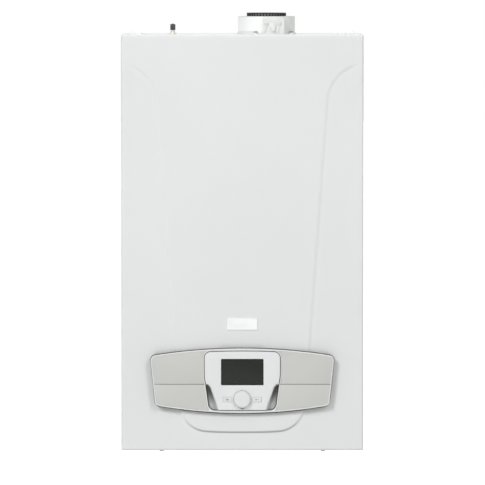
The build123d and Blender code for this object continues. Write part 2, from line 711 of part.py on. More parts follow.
with BuildPart() as exchanger_shell:
    with BuildSketch(front(SHELL_BACK)):
        with Locations((0, SHELL_LEVEL)):
            Circle(SHELL_RADIUS)
    extrude(amount=SHELL_FRONT - SHELL_BACK)
    with BuildSketch(floor(SHELL_LEVEL)):
        with Locations((FLUE_X, -FLUE_DEPTH)):
            Circle(FLUE_RADIUS + SOCKET_WALL)
    extrude(amount=SHELL_SOCKET_TOP - SHELL_LEVEL)
    with BuildSketch(floor(DRAIN_STUB_FOOT)):
        with Locations((DRAIN_STUB_X, -FLUE_DEPTH)):
            Circle(DRAIN_STUB_RADIUS)
    extrude(amount=SHELL_LEVEL - DRAIN_STUB_FOOT)
    with BuildSketch(front(SHELL_BACK + SHELL_WALL)):
        with Locations((0, SHELL_LEVEL)):
            Circle(SHELL_RADIUS - SHELL_WALL)
    extrude(amount=SHELL_FRONT - SHELL_BACK, mode=Mode.SUBTRACT)
    with BuildSketch(floor(SHELL_LEVEL)):
        with Locations((FLUE_X, -FLUE_DEPTH)):
            Circle(FLUE_RADIUS - FLUE_WALL)
    extrude(amount=SHELL_SOCKET_TOP - SHELL_LEVEL, mode=Mode.SUBTRACT)
    with BuildSketch(floor(SHELL_SOCKET_SEAT)):
        with Locations((FLUE_X, -FLUE_DEPTH)):
            Circle(FLUE_RADIUS + RUNNING)
    extrude(amount=SHELL_SOCKET_TOP - SHELL_SOCKET_SEAT, mode=Mode.SUBTRACT)
    with BuildSketch(floor(DRAIN_STUB_FOOT)):
        with Locations((DRAIN_STUB_X, -FLUE_DEPTH)):
            Circle(DRAIN_STUB_BORE)
    extrude(amount=SHELL_LEVEL - DRAIN_STUB_FOOT, mode=Mode.SUBTRACT)
    with BuildSketch(flank(-SHELL_RADIUS - 1)):
        with Locations((-COIL_BACK, SHELL_LEVEL)):
            Circle(COIL_TUBE + TOUCH)
    extrude(amount=SHELL_RADIUS - COIL_RADIUS, mode=Mode.SUBTRACT)
    with BuildSketch(flank(COIL_RADIUS)):
        with Locations((-COIL_FRONT, SHELL_LEVEL)):
            Circle(COIL_TUBE + TOUCH)
    extrude(amount=SHELL_RADIUS, mode=Mode.SUBTRACT)
save(exchanger_shell.part, "exchanger_shell")

with BuildLine() as coil_turns:
    Helix(COIL_PITCH, (COIL_TURNS - 0.5) * COIL_PITCH, COIL_RADIUS)
coil_axis = Plane(origin=at(0, COIL_BACK, SHELL_LEVEL), x_dir=(-1, 0, 0), z_dir=(0, -1, 0))
COIL_LINE = coil_axis * coil_turns.line

with BuildPart() as exchanger_coil:
    sweep(tube_section(COIL_LINE, COIL_TUBE, 0), path=COIL_LINE, is_frenet=True)
    with BuildSketch(flank(-COIL_STUB)):
        with Locations((-COIL_BACK, SHELL_LEVEL)):
            Circle(COIL_TUBE)
    extrude(amount=COIL_STUB - COIL_RADIUS)
    with BuildSketch(flank(COIL_RADIUS)):
        with Locations((-COIL_FRONT, SHELL_LEVEL)):
            Circle(COIL_TUBE)
    extrude(amount=COIL_STUB - COIL_RADIUS)
    sweep(tube_section(COIL_LINE, COIL_TUBE - 1, 0), path=COIL_LINE, is_frenet=True, mode=Mode.SUBTRACT)
    with BuildSketch(flank(-COIL_STUB)):
        with Locations((-COIL_BACK, SHELL_LEVEL)):
            Circle(COIL_TUBE - 1)
    extrude(amount=COIL_STUB - COIL_RADIUS, mode=Mode.SUBTRACT)
    with BuildSketch(flank(COIL_RADIUS)):
        with Locations((-COIL_FRONT, SHELL_LEVEL)):
            Circle(COIL_TUBE - 1)
    extrude(amount=COIL_STUB - COIL_RADIUS, mode=Mode.SUBTRACT)
save(exchanger_coil.part, "exchanger_coil")

DUCT_DEPTH = 46.0
DUCT_WALL = 3.0
DOOR_FRONT = SHELL_FRONT + DOOR_THICK
DUCT_MOUTH_X = 62.0
DUCT_MOUTH_TOP = FAN_LEVEL + FAN_RADIUS
DUCT_MOUTH_TALL = 46.0

with BuildSketch() as duct_outline:
    with BuildLine():
        Polyline(
            (DUCT_MOUTH_X, DUCT_MOUTH_TOP - DUCT_MOUTH_TALL),
            (DUCT_MOUTH_X, DUCT_MOUTH_TOP),
            (BURNER_RADIUS + 4, SHELL_LEVEL + 14),
            (16, SHELL_LEVEL + BURNER_RADIUS + 6),
            (-16, SHELL_LEVEL + BURNER_RADIUS + 6),
            (-BURNER_RADIUS - 4, SHELL_LEVEL + 14),
            (-BURNER_RADIUS - 4, SHELL_LEVEL - 16),
            (24, DUCT_MOUTH_TOP - DUCT_MOUTH_TALL),
            (DUCT_MOUTH_X, DUCT_MOUTH_TOP - DUCT_MOUTH_TALL),
        )
    make_face()
DUCT = duct_outline.sketch

with BuildPart() as burner_door:
    with BuildSketch(front(SHELL_FRONT)):
        with Locations((0, SHELL_LEVEL)):
            Circle(SHELL_RADIUS)
    extrude(amount=DOOR_THICK)
    extrude(placed(DUCT, DOOR_FRONT), amount=DUCT_DEPTH + FAN_BACK - DOOR_FRONT)
    duct_room = DUCT_DEPTH + FAN_BACK - DOOR_FRONT - DUCT_WALL
    extrude(placed(grown(DUCT, -DUCT_WALL), DOOR_FRONT), amount=duct_room, mode=Mode.SUBTRACT)
    with BuildSketch(flank(DUCT_MOUTH_X - 2 * DUCT_WALL)):
        with Locations((-FAN_BACK - DUCT_DEPTH / 2, DUCT_MOUTH_TOP - DUCT_MOUTH_TALL / 2)):
            Rectangle(DUCT_DEPTH - 2 * DUCT_WALL, DUCT_MOUTH_TALL - 2 * DUCT_WALL)
    extrude(amount=4 * DUCT_WALL, mode=Mode.SUBTRACT)
    with BuildSketch(front(SHELL_FRONT)):
        with Locations((0, SHELL_LEVEL)):
            Circle(BURNER_RADIUS - 4)
    extrude(amount=DOOR_THICK + DUCT_WALL, mode=Mode.SUBTRACT)
save(burner_door.part, "burner_door")

with BuildPart() as burner_tube:
    with BuildSketch(front(SHELL_FRONT - BURNER_LENGTH)):
        with Locations((0, SHELL_LEVEL)):
            Circle(BURNER_RADIUS)
    extrude(amount=BURNER_LENGTH)
    with BuildSketch(front(SHELL_FRONT - BURNER_LENGTH + 2)):
        with Locations((0, SHELL_LEVEL)):
            Circle(BURNER_RADIUS - 2)
    extrude(amount=BURNER_LENGTH, mode=Mode.SUBTRACT)
save(burner_tube.part, "burner_tube")

NUT_CIRCLE = 108.0
NUT_RADIUS = 6.0

with BuildPart() as door_nuts:
    with BuildSketch(front(DOOR_FRONT)):
        with Locations((0, SHELL_LEVEL)):
            with PolarLocations(NUT_CIRCLE, 6):
                RegularPolygon(NUT_RADIUS, 6)
    extrude(amount=5)
save(door_nuts.part, "door_nuts")

ELECTRODE_X = 60.0
ELECTRODE_GAP = 6.0

with BuildPart() as ignition_electrodes:
    for x in (-ELECTRODE_X - ELECTRODE_GAP, -ELECTRODE_X + ELECTRODE_GAP):
        with BuildSketch(front(DOOR_FRONT)):
            with Locations((x, SHELL_LEVEL + 20)):
                Circle(4.2)
        extrude(amount=26)
        with BuildSketch(front(DOOR_FRONT + 26)):
            with Locations((x, SHELL_LEVEL + 20)):
                Circle(1.5)
        extrude(amount=8)
    with BuildSketch(front(DOOR_FRONT)):
        with Locations((-ELECTRODE_X, SHELL_LEVEL + 20)):
            RectangleRounded(32, 14, 3)
    extrude(amount=3)
save(ignition_electrodes.part, "ignition_electrodes")

# Fan that blows the mixture into the burner door

FAN_FRONT = FAN_BACK + FAN_WIDE
FAN_INLET = 26.0
FAN_SHAFT = 3.0
MOTOR_RADIUS = 44.0
MOTOR_BACK = 192.0
WHEEL_BACK = FAN_BACK + FAN_WALL + 3.5
WHEEL_WIDE = 34.0

with BuildPart() as fan_housing:
    with BuildSketch(front(FAN_BACK)):
        with Locations((FAN_X, FAN_LEVEL)):
            Circle(FAN_RADIUS)
        with Locations(((DUCT_MOUTH_X + FAN_X) / 2, DUCT_MOUTH_TOP - DUCT_MOUTH_TALL / 2)):
            Rectangle(FAN_X - DUCT_MOUTH_X, DUCT_MOUTH_TALL)
    extrude(amount=FAN_WIDE)
    with BuildSketch(front(FAN_BACK + FAN_WALL)):
        with Locations((FAN_X, FAN_LEVEL)):
            Circle(FAN_RADIUS - FAN_WALL)
        with Locations(((DUCT_MOUTH_X + FAN_X) / 2, DUCT_MOUTH_TOP - DUCT_MOUTH_TALL / 2)):
            Rectangle(FAN_X - DUCT_MOUTH_X, DUCT_MOUTH_TALL - 2 * FAN_WALL)
    extrude(amount=FAN_WIDE - 2 * FAN_WALL, mode=Mode.SUBTRACT)
    with BuildSketch(front(FAN_FRONT - 2 * FAN_WALL)):
        with Locations((FAN_X, FAN_LEVEL)):
            Circle(FAN_INLET)
    extrude(amount=3 * FAN_WALL, mode=Mode.SUBTRACT)
    with BuildSketch(front(FAN_BACK)):
        with Locations((FAN_X, FAN_LEVEL)):
            Circle(2 * FAN_SHAFT)
    extrude(amount=FAN_WALL, mode=Mode.SUBTRACT)
save(fan_housing.part, "fan_housing")

with BuildPart() as fan_wheel:
    with BuildSketch(front(WHEEL_BACK)):
        with Locations((FAN_X, FAN_LEVEL)):
            Circle(WHEEL_RADIUS)
    extrude(amount=2)
    with BuildSketch(front(WHEEL_BACK + 2)):
        with Locations((FAN_X, FAN_LEVEL)):
            with PolarLocations(WHEEL_RADIUS - 7, WHEEL_BLADES):
                Rectangle(13, 1.4, rotation=24)
    extrude(amount=WHEEL_WIDE - 4)
    with BuildSketch(front(WHEEL_BACK + WHEEL_WIDE - 2)):
        with Locations((FAN_X, FAN_LEVEL)):
            Circle(WHEEL_RADIUS)
            Circle(WHEEL_RADIUS - 15, mode=Mode.SUBTRACT)
    extrude(amount=2)
    with BuildSketch(front(WHEEL_BACK)):
        with Locations((FAN_X, FAN_LEVEL)):
            Circle(9)
    extrude(amount=16)
    with BuildSketch(front(MOTOR_BACK + 8)):
        with Locations((FAN_X, FAN_LEVEL)):
            Circle(FAN_SHAFT)
    extrude(amount=WHEEL_BACK - MOTOR_BACK)
save(fan_wheel.part, "fan_wheel")

with BuildPart() as fan_motor:
    with BuildSketch(front(MOTOR_BACK)):
        with Locations((FAN_X, FAN_LEVEL)):
            Circle(MOTOR_RADIUS)
    extrude(amount=FAN_BACK - MOTOR_BACK)
    fillet(fan_motor.edges().group_by(Axis.Y)[-1], 5)
    with BuildSketch(front(MOTOR_BACK + 6)):
        with Locations((FAN_X, FAN_LEVEL)):
            Circle(FAN_SHAFT + RUNNING)
    extrude(amount=FAN_BACK - MOTOR_BACK, mode=Mode.SUBTRACT)
save(fan_motor.part, "fan_motor")

MIXER_RADIUS = 32.0
MIXER_LONG = 36.0
MIXER_MIDDLE = FAN_FRONT + 18.0
AIR_INLET = 17.0
GAS_SPIGOT = 6.0

with BuildPart() as gas_air_mixer:
    with BuildSketch(front(FAN_FRONT)):
        with Locations((FAN_X, FAN_LEVEL)):
            Circle(MIXER_RADIUS)
    extrude(amount=MIXER_LONG)
    with BuildSketch(floor(FAN_LEVEL)):
        with Locations((FAN_X, -MIXER_MIDDLE)):
            Circle(AIR_INLET)
    extrude(amount=80)
    with BuildSketch(front(FAN_FRONT)):
        with Locations((FAN_X, FAN_LEVEL)):
            Circle(FAN_INLET)
    extrude(amount=MIXER_LONG - 4, mode=Mode.SUBTRACT)
    with BuildSketch(floor(FAN_LEVEL)):
        with Locations((FAN_X, -MIXER_MIDDLE)):
            Circle(AIR_INLET - 2)
    extrude(amount=80, mode=Mode.SUBTRACT)
save(gas_air_mixer.part, "gas_air_mixer")

# Gas valve and its pipes

GAS_VALVE_FOOT = 262.0
GAS_VALVE_TALL = 66.0
GAS_VALVE_HALF = 34.0
GAS_VALVE_BACK = 242.0
GAS_VALVE_FRONT = 312.0
GAS_LINE_DEPTH = 270.0
GAS_OUTLET_X = 20.0

with BuildPart() as gas_valve:
    with BuildSketch(front(GAS_VALVE_BACK)):
        with Locations((0, GAS_VALVE_FOOT + GAS_VALVE_TALL / 2)):
            RectangleRounded(2 * GAS_VALVE_HALF, GAS_VALVE_TALL, 5)
    extrude(amount=GAS_VALVE_FRONT - GAS_VALVE_BACK - 16)
    with BuildSketch(front(GAS_VALVE_FRONT - 16)):
        with Locations((-GAS_VALVE_HALF / 2, GAS_VALVE_FOOT + GAS_VALVE_TALL / 2)):
            Circle(15)
        with Locations((GAS_VALVE_HALF / 2, GAS_VALVE_FOOT + 18)):
            RectangleRounded(26, 26, 2)
    extrude(amount=16)
    with BuildSketch(floor(GAS_VALVE_FOOT + GAS_VALVE_TALL)):
        with Locations((GAS_OUTLET_X, -GAS_VALVE_FRONT + 24)):
            RegularPolygon(11, 6)
    extrude(amount=10)
save(gas_valve.part, "gas_valve")

with BuildPart() as gas_pipes:
    supply_line = route(
        (0, TAIL_DEPTH, SPIGOT_TOP), (0, TAIL_DEPTH, 215), (0, GAS_LINE_DEPTH, 215), (0, GAS_LINE_DEPTH, GAS_VALVE_FOOT)
    )
    sweep(tube_section(supply_line, PIPE_RADIUS, 1), path=supply_line)
    outlet_line = route(
        (GAS_OUTLET_X, GAS_VALVE_FRONT - 24, GAS_VALVE_FOOT + GAS_VALVE_TALL + 10),
        (GAS_OUTLET_X, GAS_VALVE_FRONT - 24, 372),
        (GAS_OUTLET_X, MIXER_MIDDLE, FAN_LEVEL),
        (FAN_X - MIXER_RADIUS, MIXER_MIDDLE, FAN_LEVEL),
        bend=10,
    )
    sweep(tube_section(outlet_line, GAS_SPIGOT, 1), path=outlet_line)
save(gas_pipes.part, "gas_pipes")

# Flat expansion vessel against the back panel, with its pipe

VESSEL_BACK = BACK_PLANE + SHEET
VESSEL_FRONT = SHELL_BACK - 6.0
VESSEL_HALF = 185.0
VESSEL_WALL = 1.5
VESSEL_RIM = 8.0
VESSEL_FOOT = 300.0
VESSEL_TOP = 700.0
VESSEL_PIPE_X = 150.0
VESSEL_PIPE_RADIUS = 6.0
RETURN_BACK = 68.0

with BuildPart() as expansion_vessel:
    with BuildSketch(front(VESSEL_BACK)):
        with Locations((0, (VESSEL_FOOT + VESSEL_TOP) / 2)):
            RectangleRounded(2 * VESSEL_HALF, VESSEL_TOP - VESSEL_FOOT, 36)
    extrude(amount=VESSEL_FRONT - VESSEL_BACK)
    fillet(expansion_vessel.faces().group_by(Axis.Y)[0].edges(), 12)
    fillet(expansion_vessel.faces().group_by(Axis.Y)[-1].edges(), 6)
    with BuildSketch(front(VESSEL_BACK + VESSEL_WALL)):
        with Locations((0, (VESSEL_FOOT + VESSEL_TOP) / 2)):
            inner_tall = VESSEL_TOP - VESSEL_FOOT - 2 * VESSEL_RIM
            RectangleRounded(2 * (VESSEL_HALF - VESSEL_RIM), inner_tall, 28)
    extrude(amount=VESSEL_FRONT - VESSEL_BACK - 2 * VESSEL_WALL, mode=Mode.SUBTRACT)
    vessel_line = route(
        (VESSEL_PIPE_X - 20, (VESSEL_BACK + VESSEL_FRONT) / 2, VESSEL_FOOT + 1),
        (VESSEL_PIPE_X - 20, (VESSEL_BACK + VESSEL_FRONT) / 2, 100),
        (VESSEL_PIPE_X - 20, RETURN_BACK, 100),
    )
    sweep(tube_section(vessel_line, VESSEL_PIPE_RADIUS, 0), path=vessel_line)
save(expansion_vessel.part, "expansion_vessel")

# Condensate trap, its hose and drain

HOSE_RADIUS = 9.0
HOSE_WALL = 1.5

with BuildPart() as condensate_trap:
    with BuildSketch(floor(TRAP_FOOT - TOUCH)):
        with Locations((TRAP_X, -TRAP_DEPTH)):
            Circle(TRAP_RADIUS)
    extrude(amount=TRAP_TALL)
    fillet(condensate_trap.edges().group_by(Axis.Z)[-1], 6)
    with BuildSketch(floor(TAIL_END)):
        with Locations((TRAP_X, -TRAP_DEPTH)):
            Circle(DRAIN_RADIUS)
    extrude(amount=NUT_FOOT - TAIL_END)
    with BuildSketch(floor(NUT_FOOT)):
        with Locations((TRAP_X, -TRAP_DEPTH)):
            Circle(DRAIN_RADIUS + NUT_LAP)
    extrude(amount=PLATE_LEVEL - TOUCH - NUT_FOOT)
    with BuildSketch(floor(NUT_FOOT)):
        with Locations((TRAP_X, -TRAP_DEPTH)):
            Circle(DRAIN_RADIUS - NECK_STEP)
    extrude(amount=TRAP_FOOT - NUT_FOOT)
    with BuildSketch(floor(TAIL_END)):
        with Locations((TRAP_X, -TRAP_DEPTH)):
            Circle(DRAIN_RADIUS - 1.6)
    extrude(amount=TRAP_FOOT + 60 - TAIL_END, mode=Mode.SUBTRACT)
save(condensate_trap.part, "condensate_trap")

with BuildPart() as condensate_hose:
    hose_line = route(
        (DRAIN_STUB_X, FLUE_DEPTH, DRAIN_STUB_FOOT),
        (DRAIN_STUB_X, FLUE_DEPTH, 300),
        (TRAP_X, TRAP_DEPTH, 290),
        (TRAP_X, TRAP_DEPTH, TRAP_FOOT - TOUCH + TRAP_TALL),
        bend=30,
    )
    sweep(tube_section(hose_line, HOSE_RADIUS, HOSE_WALL), path=hose_line)
save(condensate_hose.part, "condensate_hose")

# Diverter valve on the flow side, with its motor

BLOCK_HALF = 27.0
DIVERTER_TOP = 150.0
DIVERTER_BACK = 66.0
DIVERTER_FRONT = 118.0
FLOW_X = -2 * TAIL_SPACING
RETURN_X = 2 * TAIL_SPACING
LINK_DEPTH = 72.0
LINK_RADIUS = 6.0
LINK_LEVEL = 110.0
PLATE_HALF = 95.0
FLOW_LINE_X = -165.0
RETURN_LINE_X = 190.0

with BuildPart() as diverter_valve:
    with BuildSketch(front(DIVERTER_BACK)):
        with Locations((FLOW_X, (SPIGOT_TOP + DIVERTER_TOP) / 2)):
            RectangleRounded(2 * BLOCK_HALF, DIVERTER_TOP - SPIGOT_TOP, 6)
    extrude(amount=DIVERTER_FRONT - DIVERTER_BACK)
    with BuildSketch(flank(FLOW_X)):
        with Locations((-LINK_DEPTH, LINK_LEVEL)):
            Circle(LINK_RADIUS)
    extrude(amount=-PLATE_HALF - FLOW_X)
    with BuildSketch(floor(SPIGOT_TOP)):
        with Locations((FLOW_X, -TAIL_DEPTH)):
            Circle(PIPE_RADIUS - 1)
    extrude(amount=DIVERTER_TOP - SPIGOT_TOP, mode=Mode.SUBTRACT)
save(diverter_valve.part, "diverter_valve")

with BuildPart() as diverter_motor:
    with BuildSketch(front(DIVERTER_FRONT)):
        with Locations((FLOW_X + 4, 112)):
            RectangleRounded(36, 52, 5)
    extrude(amount=46)
    fillet(diverter_motor.edges().group_by(Axis.Y)[0], 3)
save(diverter_motor.part, "diverter_motor")

# Pump on the return side, the return block under it and the two pipes up to the exchanger

PUMP_FRONT = PUMP_BACK + PUMP_VOLUTE_WIDE
PUMP_SHAFT = 4.0
PUMP_CAVITY = IMPELLER_RADIUS + 3.0
RETURN_FRONT = 116.0
RETURN_TOP = PUMP_LEVEL - PUMP_VOLUTE_RADIUS

with BuildPart() as pump_body:
    with BuildSketch(front(PUMP_BACK)):
        with Locations((PUMP_X, PUMP_LEVEL)):
            Circle(PUMP_VOLUTE_RADIUS)
    extrude(amount=PUMP_VOLUTE_WIDE)
    with BuildSketch(floor(PUMP_LEVEL)):
        with Locations((PUMP_X, -PUMP_BACK - PUMP_VOLUTE_WIDE / 2)):
            Circle(PIPE_RADIUS + 4)
    extrude(amount=PUMP_VOLUTE_RADIUS + 12)
    with BuildSketch(floor(RETURN_TOP)):
        with Locations((PUMP_X, -PUMP_BACK - PUMP_VOLUTE_WIDE / 2)):
            Circle(PIPE_RADIUS + 4)
    extrude(amount=PUMP_VOLUTE_RADIUS)
    with BuildSketch(front(PUMP_BACK + 5)):
        with Locations((PUMP_X, PUMP_LEVEL)):
            Circle(PUMP_CAVITY)
    extrude(amount=PUMP_VOLUTE_WIDE, mode=Mode.SUBTRACT)
    with BuildSketch(floor(RETURN_TOP)):
        with Locations((PUMP_X, -PUMP_BACK - PUMP_VOLUTE_WIDE / 2)):
            Circle(PIPE_RADIUS - 1)
    extrude(amount=2 * PUMP_VOLUTE_RADIUS + 12, mode=Mode.SUBTRACT)
save(pump_body.part, "pump_body")

with BuildPart() as pump_motor:
    with BuildSketch(front(PUMP_FRONT)):
        with Locations((PUMP_X, PUMP_LEVEL)):
            Circle(PUMP_MOTOR_RADIUS)
    extrude(amount=PUMP_MOTOR_LONG)
    fillet(pump_motor.edges().group_by(Axis.Y)[0], 6)
    with BuildSketch(front(PUMP_FRONT)):
        with Locations((PUMP_X, PUMP_LEVEL)):
            Circle(PUMP_SHAFT + RUNNING)
    extrude(amount=44, mode=Mode.SUBTRACT)
    with BuildSketch(front(PUMP_FRONT + 46)):
        with Locations((PUMP_X, PUMP_LEVEL)):
            Circle(PUMP_MOTOR_RADIUS - 4)
    extrude(amount=PUMP_MOTOR_LONG - 50, mode=Mode.SUBTRACT)
save(pump_motor.part, "pump_motor")

with BuildPart() as pump_impeller:
    with BuildSketch(front(PUMP_BACK + 9)):
        with Locations((PUMP_X, PUMP_LEVEL)):
            Circle(IMPELLER_RADIUS)
    extrude(amount=2)
    with BuildSketch(front(PUMP_BACK + 11)):
        with Locations((PUMP_X, PUMP_LEVEL)):
            with PolarLocations(IMPELLER_RADIUS - 12, 7):
                Rectangle(22, 2, rotation=30)
    extrude(amount=10)
    with BuildSketch(front(PUMP_BACK + 20)):
        with Locations((PUMP_X, PUMP_LEVEL)):
            Circle(IMPELLER_RADIUS)
    extrude(amount=2)
    with BuildSketch(front(PUMP_BACK + 11)):
        with Locations((PUMP_X, PUMP_LEVEL)):
            Circle(PUMP_SHAFT)
    extrude(amount=PUMP_VOLUTE_WIDE + 30)
save(pump_impeller.part, "pump_impeller")

with BuildPart() as return_block:
    with BuildSketch(front(RETURN_BACK)):
        with Locations((RETURN_X, (SPIGOT_TOP + RETURN_TOP) / 2)):
            RectangleRounded(2 * BLOCK_HALF, RETURN_TOP - SPIGOT_TOP, 5)
    extrude(amount=RETURN_FRONT - RETURN_BACK)
    with BuildSketch(flank(PLATE_HALF)):
        with Locations((-LINK_DEPTH - 2, LINK_LEVEL)):
            Circle(LINK_RADIUS - 2)
    extrude(amount=RETURN_X - PLATE_HALF)
    with BuildSketch(front(RETURN_FRONT)):
        with Locations((RETURN_X, (SPIGOT_TOP + RETURN_TOP) / 2)):
            RegularPolygon(15, 6)
    extrude(amount=12)
    with BuildSketch(floor(SPIGOT_TOP)):
        with Locations((RETURN_X, -TAIL_DEPTH)):
            Circle(PIPE_RADIUS - 1)
    extrude(amount=RETURN_TOP - SPIGOT_TOP, mode=Mode.SUBTRACT)
save(return_block.part, "return_block")

with BuildPart() as heating_pipes:
    flow_line = route(
        (-COIL_STUB, COIL_BACK, SHELL_LEVEL),
        (FLOW_LINE_X, COIL_BACK, SHELL_LEVEL),
        (FLOW_LINE_X, COIL_BACK, 192),
        (FLOW_X, TAIL_DEPTH, 192),
        (FLOW_X, TAIL_DEPTH, DIVERTER_TOP),
        bend=16,
    )
    sweep(tube_section(flow_line, PIPE_RADIUS, 1), path=flow_line)
    return_line = route(
        (COIL_STUB, COIL_FRONT, SHELL_LEVEL),
        (RETURN_LINE_X, COIL_FRONT, SHELL_LEVEL),
        (RETURN_LINE_X, COIL_FRONT, 260),
        (RETURN_LINE_X, 130, 260),
        (PUMP_X, PUMP_BACK + PUMP_VOLUTE_WIDE / 2, 260),
        (PUMP_X, PUMP_BACK + PUMP_VOLUTE_WIDE / 2, PUMP_LEVEL + PUMP_VOLUTE_RADIUS + 12),
        bend=16,
    )
    sweep(tube_section(return_line, PIPE_RADIUS, 1), path=return_line)
save(heating_pipes.part, "heating_pipes")

# Plate exchanger for hot water, and the two short pipes from the tails to it

PLATE_BACK = 20.0
PLATE_FRONT = 78.0
PLATE_FOOT = PLATE_LEVEL + PLATE_STEEL
PLATE_TALL = 92.0
PLATE_COUNT = 12
PORT_LEVEL = 126.0
PORT_RADIUS = 11.0
PORT_PROUD = 3.0

with BuildPart() as plate_exchanger:
    with BuildSketch(front(PLATE_BACK)):
        with Locations((0, PLATE_FOOT + PLATE_TALL / 2)):
            RectangleRounded(2 * PLATE_HALF - 4, PLATE_TALL - 4, 8)
    extrude(amount=PLATE_FRONT - PLATE_BACK)
    plate_pitch = (PLATE_FRONT - PLATE_BACK) / PLATE_COUNT
    for k in range(PLATE_COUNT):
        with BuildSketch(front(PLATE_BACK + k * plate_pitch)):
            with Locations((0, PLATE_FOOT + PLATE_TALL / 2)):
                RectangleRounded(2 * PLATE_HALF, PLATE_TALL, 10)
        extrude(amount=plate_pitch / 2)
    with BuildSketch(front(PLATE_FRONT)):
        with Locations((0, PORT_LEVEL)):
            with GridLocations(2 * TAIL_SPACING, 0, 2, 1):
                Circle(PORT_RADIUS)
    extrude(amount=PORT_PROUD)
    with BuildSketch(front(PLATE_BACK + 3)):
        with Locations((0, PLATE_FOOT + PLATE_TALL / 2)):
            RectangleRounded(2 * PLATE_HALF - 12, PLATE_TALL - 12, 5)
    extrude(amount=PLATE_FRONT - PLATE_BACK - 6, mode=Mode.SUBTRACT)
save(plate_exchanger.part, "plate_exchanger")

with BuildPart() as domestic_pipes:
    for x in (-TAIL_SPACING, TAIL_SPACING):
        line = route(
            (x, TAIL_DEPTH, SPIGOT_TOP), (x, TAIL_DEPTH, PORT_LEVEL), (x, PLATE_FRONT + PORT_PROUD, PORT_LEVEL), bend=10
        )
        sweep(tube_section(line, PIPE_RADIUS - 1, 1), path=line)
save(domestic_pipes.part, "domestic_pipes")

# Relief valve with its hand knob and discharge pipe

RELIEF_BODY = 13.0
RELIEF_BACK = 78.0
RELIEF_FRONT = 176.0
RELIEF_STEM = 4.0
RELIEF_KNOB_RADIUS = 17.0
RELIEF_KNOB_LONG = 16.0

with BuildPart() as relief_valve:
    with BuildSketch(front(RELIEF_BACK)):
        with Locations((RELIEF_X, RELIEF_LEVEL)):
            Circle(RELIEF_BODY)
    extrude(amount=RELIEF_FRONT - RELIEF_BACK)
    with BuildSketch(flank(RETURN_X + BLOCK_HALF)):
        with Locations((-TAIL_DEPTH, RELIEF_LEVEL)):
            Circle(PIPE_RADIUS)
    extrude(amount=RELIEF_X - RETURN_X - BLOCK_HALF)
    with BuildSketch(floor(TAIL_END)):
        with Locations((RELIEF_X, -RELIEF_DEPTH)):
            Circle(DISCHARGE_RADIUS)
    extrude(amount=NUT_FOOT - TAIL_END)
    with BuildSketch(floor(NUT_FOOT)):
        with Locations((RELIEF_X, -RELIEF_DEPTH)):
            RegularPolygon(DISCHARGE_RADIUS + NUT_LAP, 6)
    extrude(amount=PLATE_LEVEL - TOUCH - NUT_FOOT)
    with BuildSketch(floor(NUT_FOOT)):
        with Locations((RELIEF_X, -RELIEF_DEPTH)):
            Circle(DISCHARGE_RADIUS - NECK_STEP)
    extrude(amount=RELIEF_LEVEL - NUT_FOOT)
    with BuildSketch(front(RELIEF_FRONT)):
        with Locations((RELIEF_X, RELIEF_LEVEL)):
            Circle(RELIEF_STEM)
    extrude(amount=RELIEF_KNOB_LONG - 4)
save(relief_valve.part, "relief_valve")

with BuildPart() as relief_knob:
    with BuildSketch(front(RELIEF_FRONT + FIT)):
        with Locations((RELIEF_X, RELIEF_LEVEL)):
            Circle(RELIEF_KNOB_RADIUS)
            with PolarLocations(RELIEF_KNOB_RADIUS + 1.5, 8):
                Circle(3.2, mode=Mode.SUBTRACT)
    extrude(amount=RELIEF_KNOB_LONG)
    with BuildSketch(front(RELIEF_FRONT + FIT)):
        with Locations((RELIEF_X, RELIEF_LEVEL)):
            Circle(RELIEF_STEM + RUNNING)
    extrude(amount=RELIEF_KNOB_LONG - 4, mode=Mode.SUBTRACT)
save(relief_knob.part, "relief_knob")

# Control box behind the panel, with the main board inside and the pressure gauge under it

BOARD_THICK = 1.6
BOARD_DEPTH = 262.0
PANEL_BACK = CASE_DEPTH - 19.0
BOX_MIDDLE = (BOX_FOOT + BOX_TOP) / 2
BOX_TALL = BOX_TOP - BOX_FOOT

with BuildPart() as control_box:
    with BuildSketch(front(BOX_BACK)):
        with Locations((0, BOX_MIDDLE)):
            RectangleRounded(2 * BOX_HALF_WIDTH, BOX_TALL, 8)
    extrude(amount=PANEL_BACK - BOX_BACK)
    with BuildSketch(front(BOX_BACK + BOX_WALL)):
        with Locations((0, BOX_MIDDLE)):
            RectangleRounded(2 * (BOX_HALF_WIDTH - BOX_WALL), BOX_TALL - 2 * BOX_WALL, 6)
    extrude(amount=PANEL_BACK - BOX_BACK, mode=Mode.SUBTRACT)
    with BuildSketch(front(BOX_BACK)):
        with Locations((0, BOX_MIDDLE)):
            with GridLocations(260, 50, 2, 2):
                Circle(4)
    extrude(amount=BOARD_DEPTH - BOX_BACK)
save(control_box.part, "control_box")

with BuildPart() as main_board:
    with BuildSketch(front(BOARD_DEPTH)):
        with Locations((0, BOX_MIDDLE)):
            RectangleRounded(290, 70, 2)
    extrude(amount=BOARD_THICK)
    with BuildSketch(front(BOARD_DEPTH + BOARD_THICK)):
        with Locations((-105, BOX_MIDDLE)):
            Rectangle(44, 38)
        with Locations((95, BOX_MIDDLE - 8)):
            with GridLocations(30, 0, 3, 1):
                Rectangle(20, 28)
    extrude(amount=24)
    with BuildSketch(front(BOARD_DEPTH + BOARD_THICK)):
        with Locations((-20, BOX_MIDDLE - 26)):
            with GridLocations(26, 0, 4, 1):
                Rectangle(22, 10)
        with Locations((-10, BOX_MIDDLE + 8)):
            Rectangle(18, 18)
    extrude(amount=9)
save(main_board.part, "main_board")

GAUGE_X = 90.0
GAUGE_DEPTH = 288.0
GAUGE_RADIUS = 21.0
GAUGE_TALL = 28.0
GAUGE_FOOT = BOX_FOOT - GAUGE_TALL
NEEDLE_PIN = 1.5

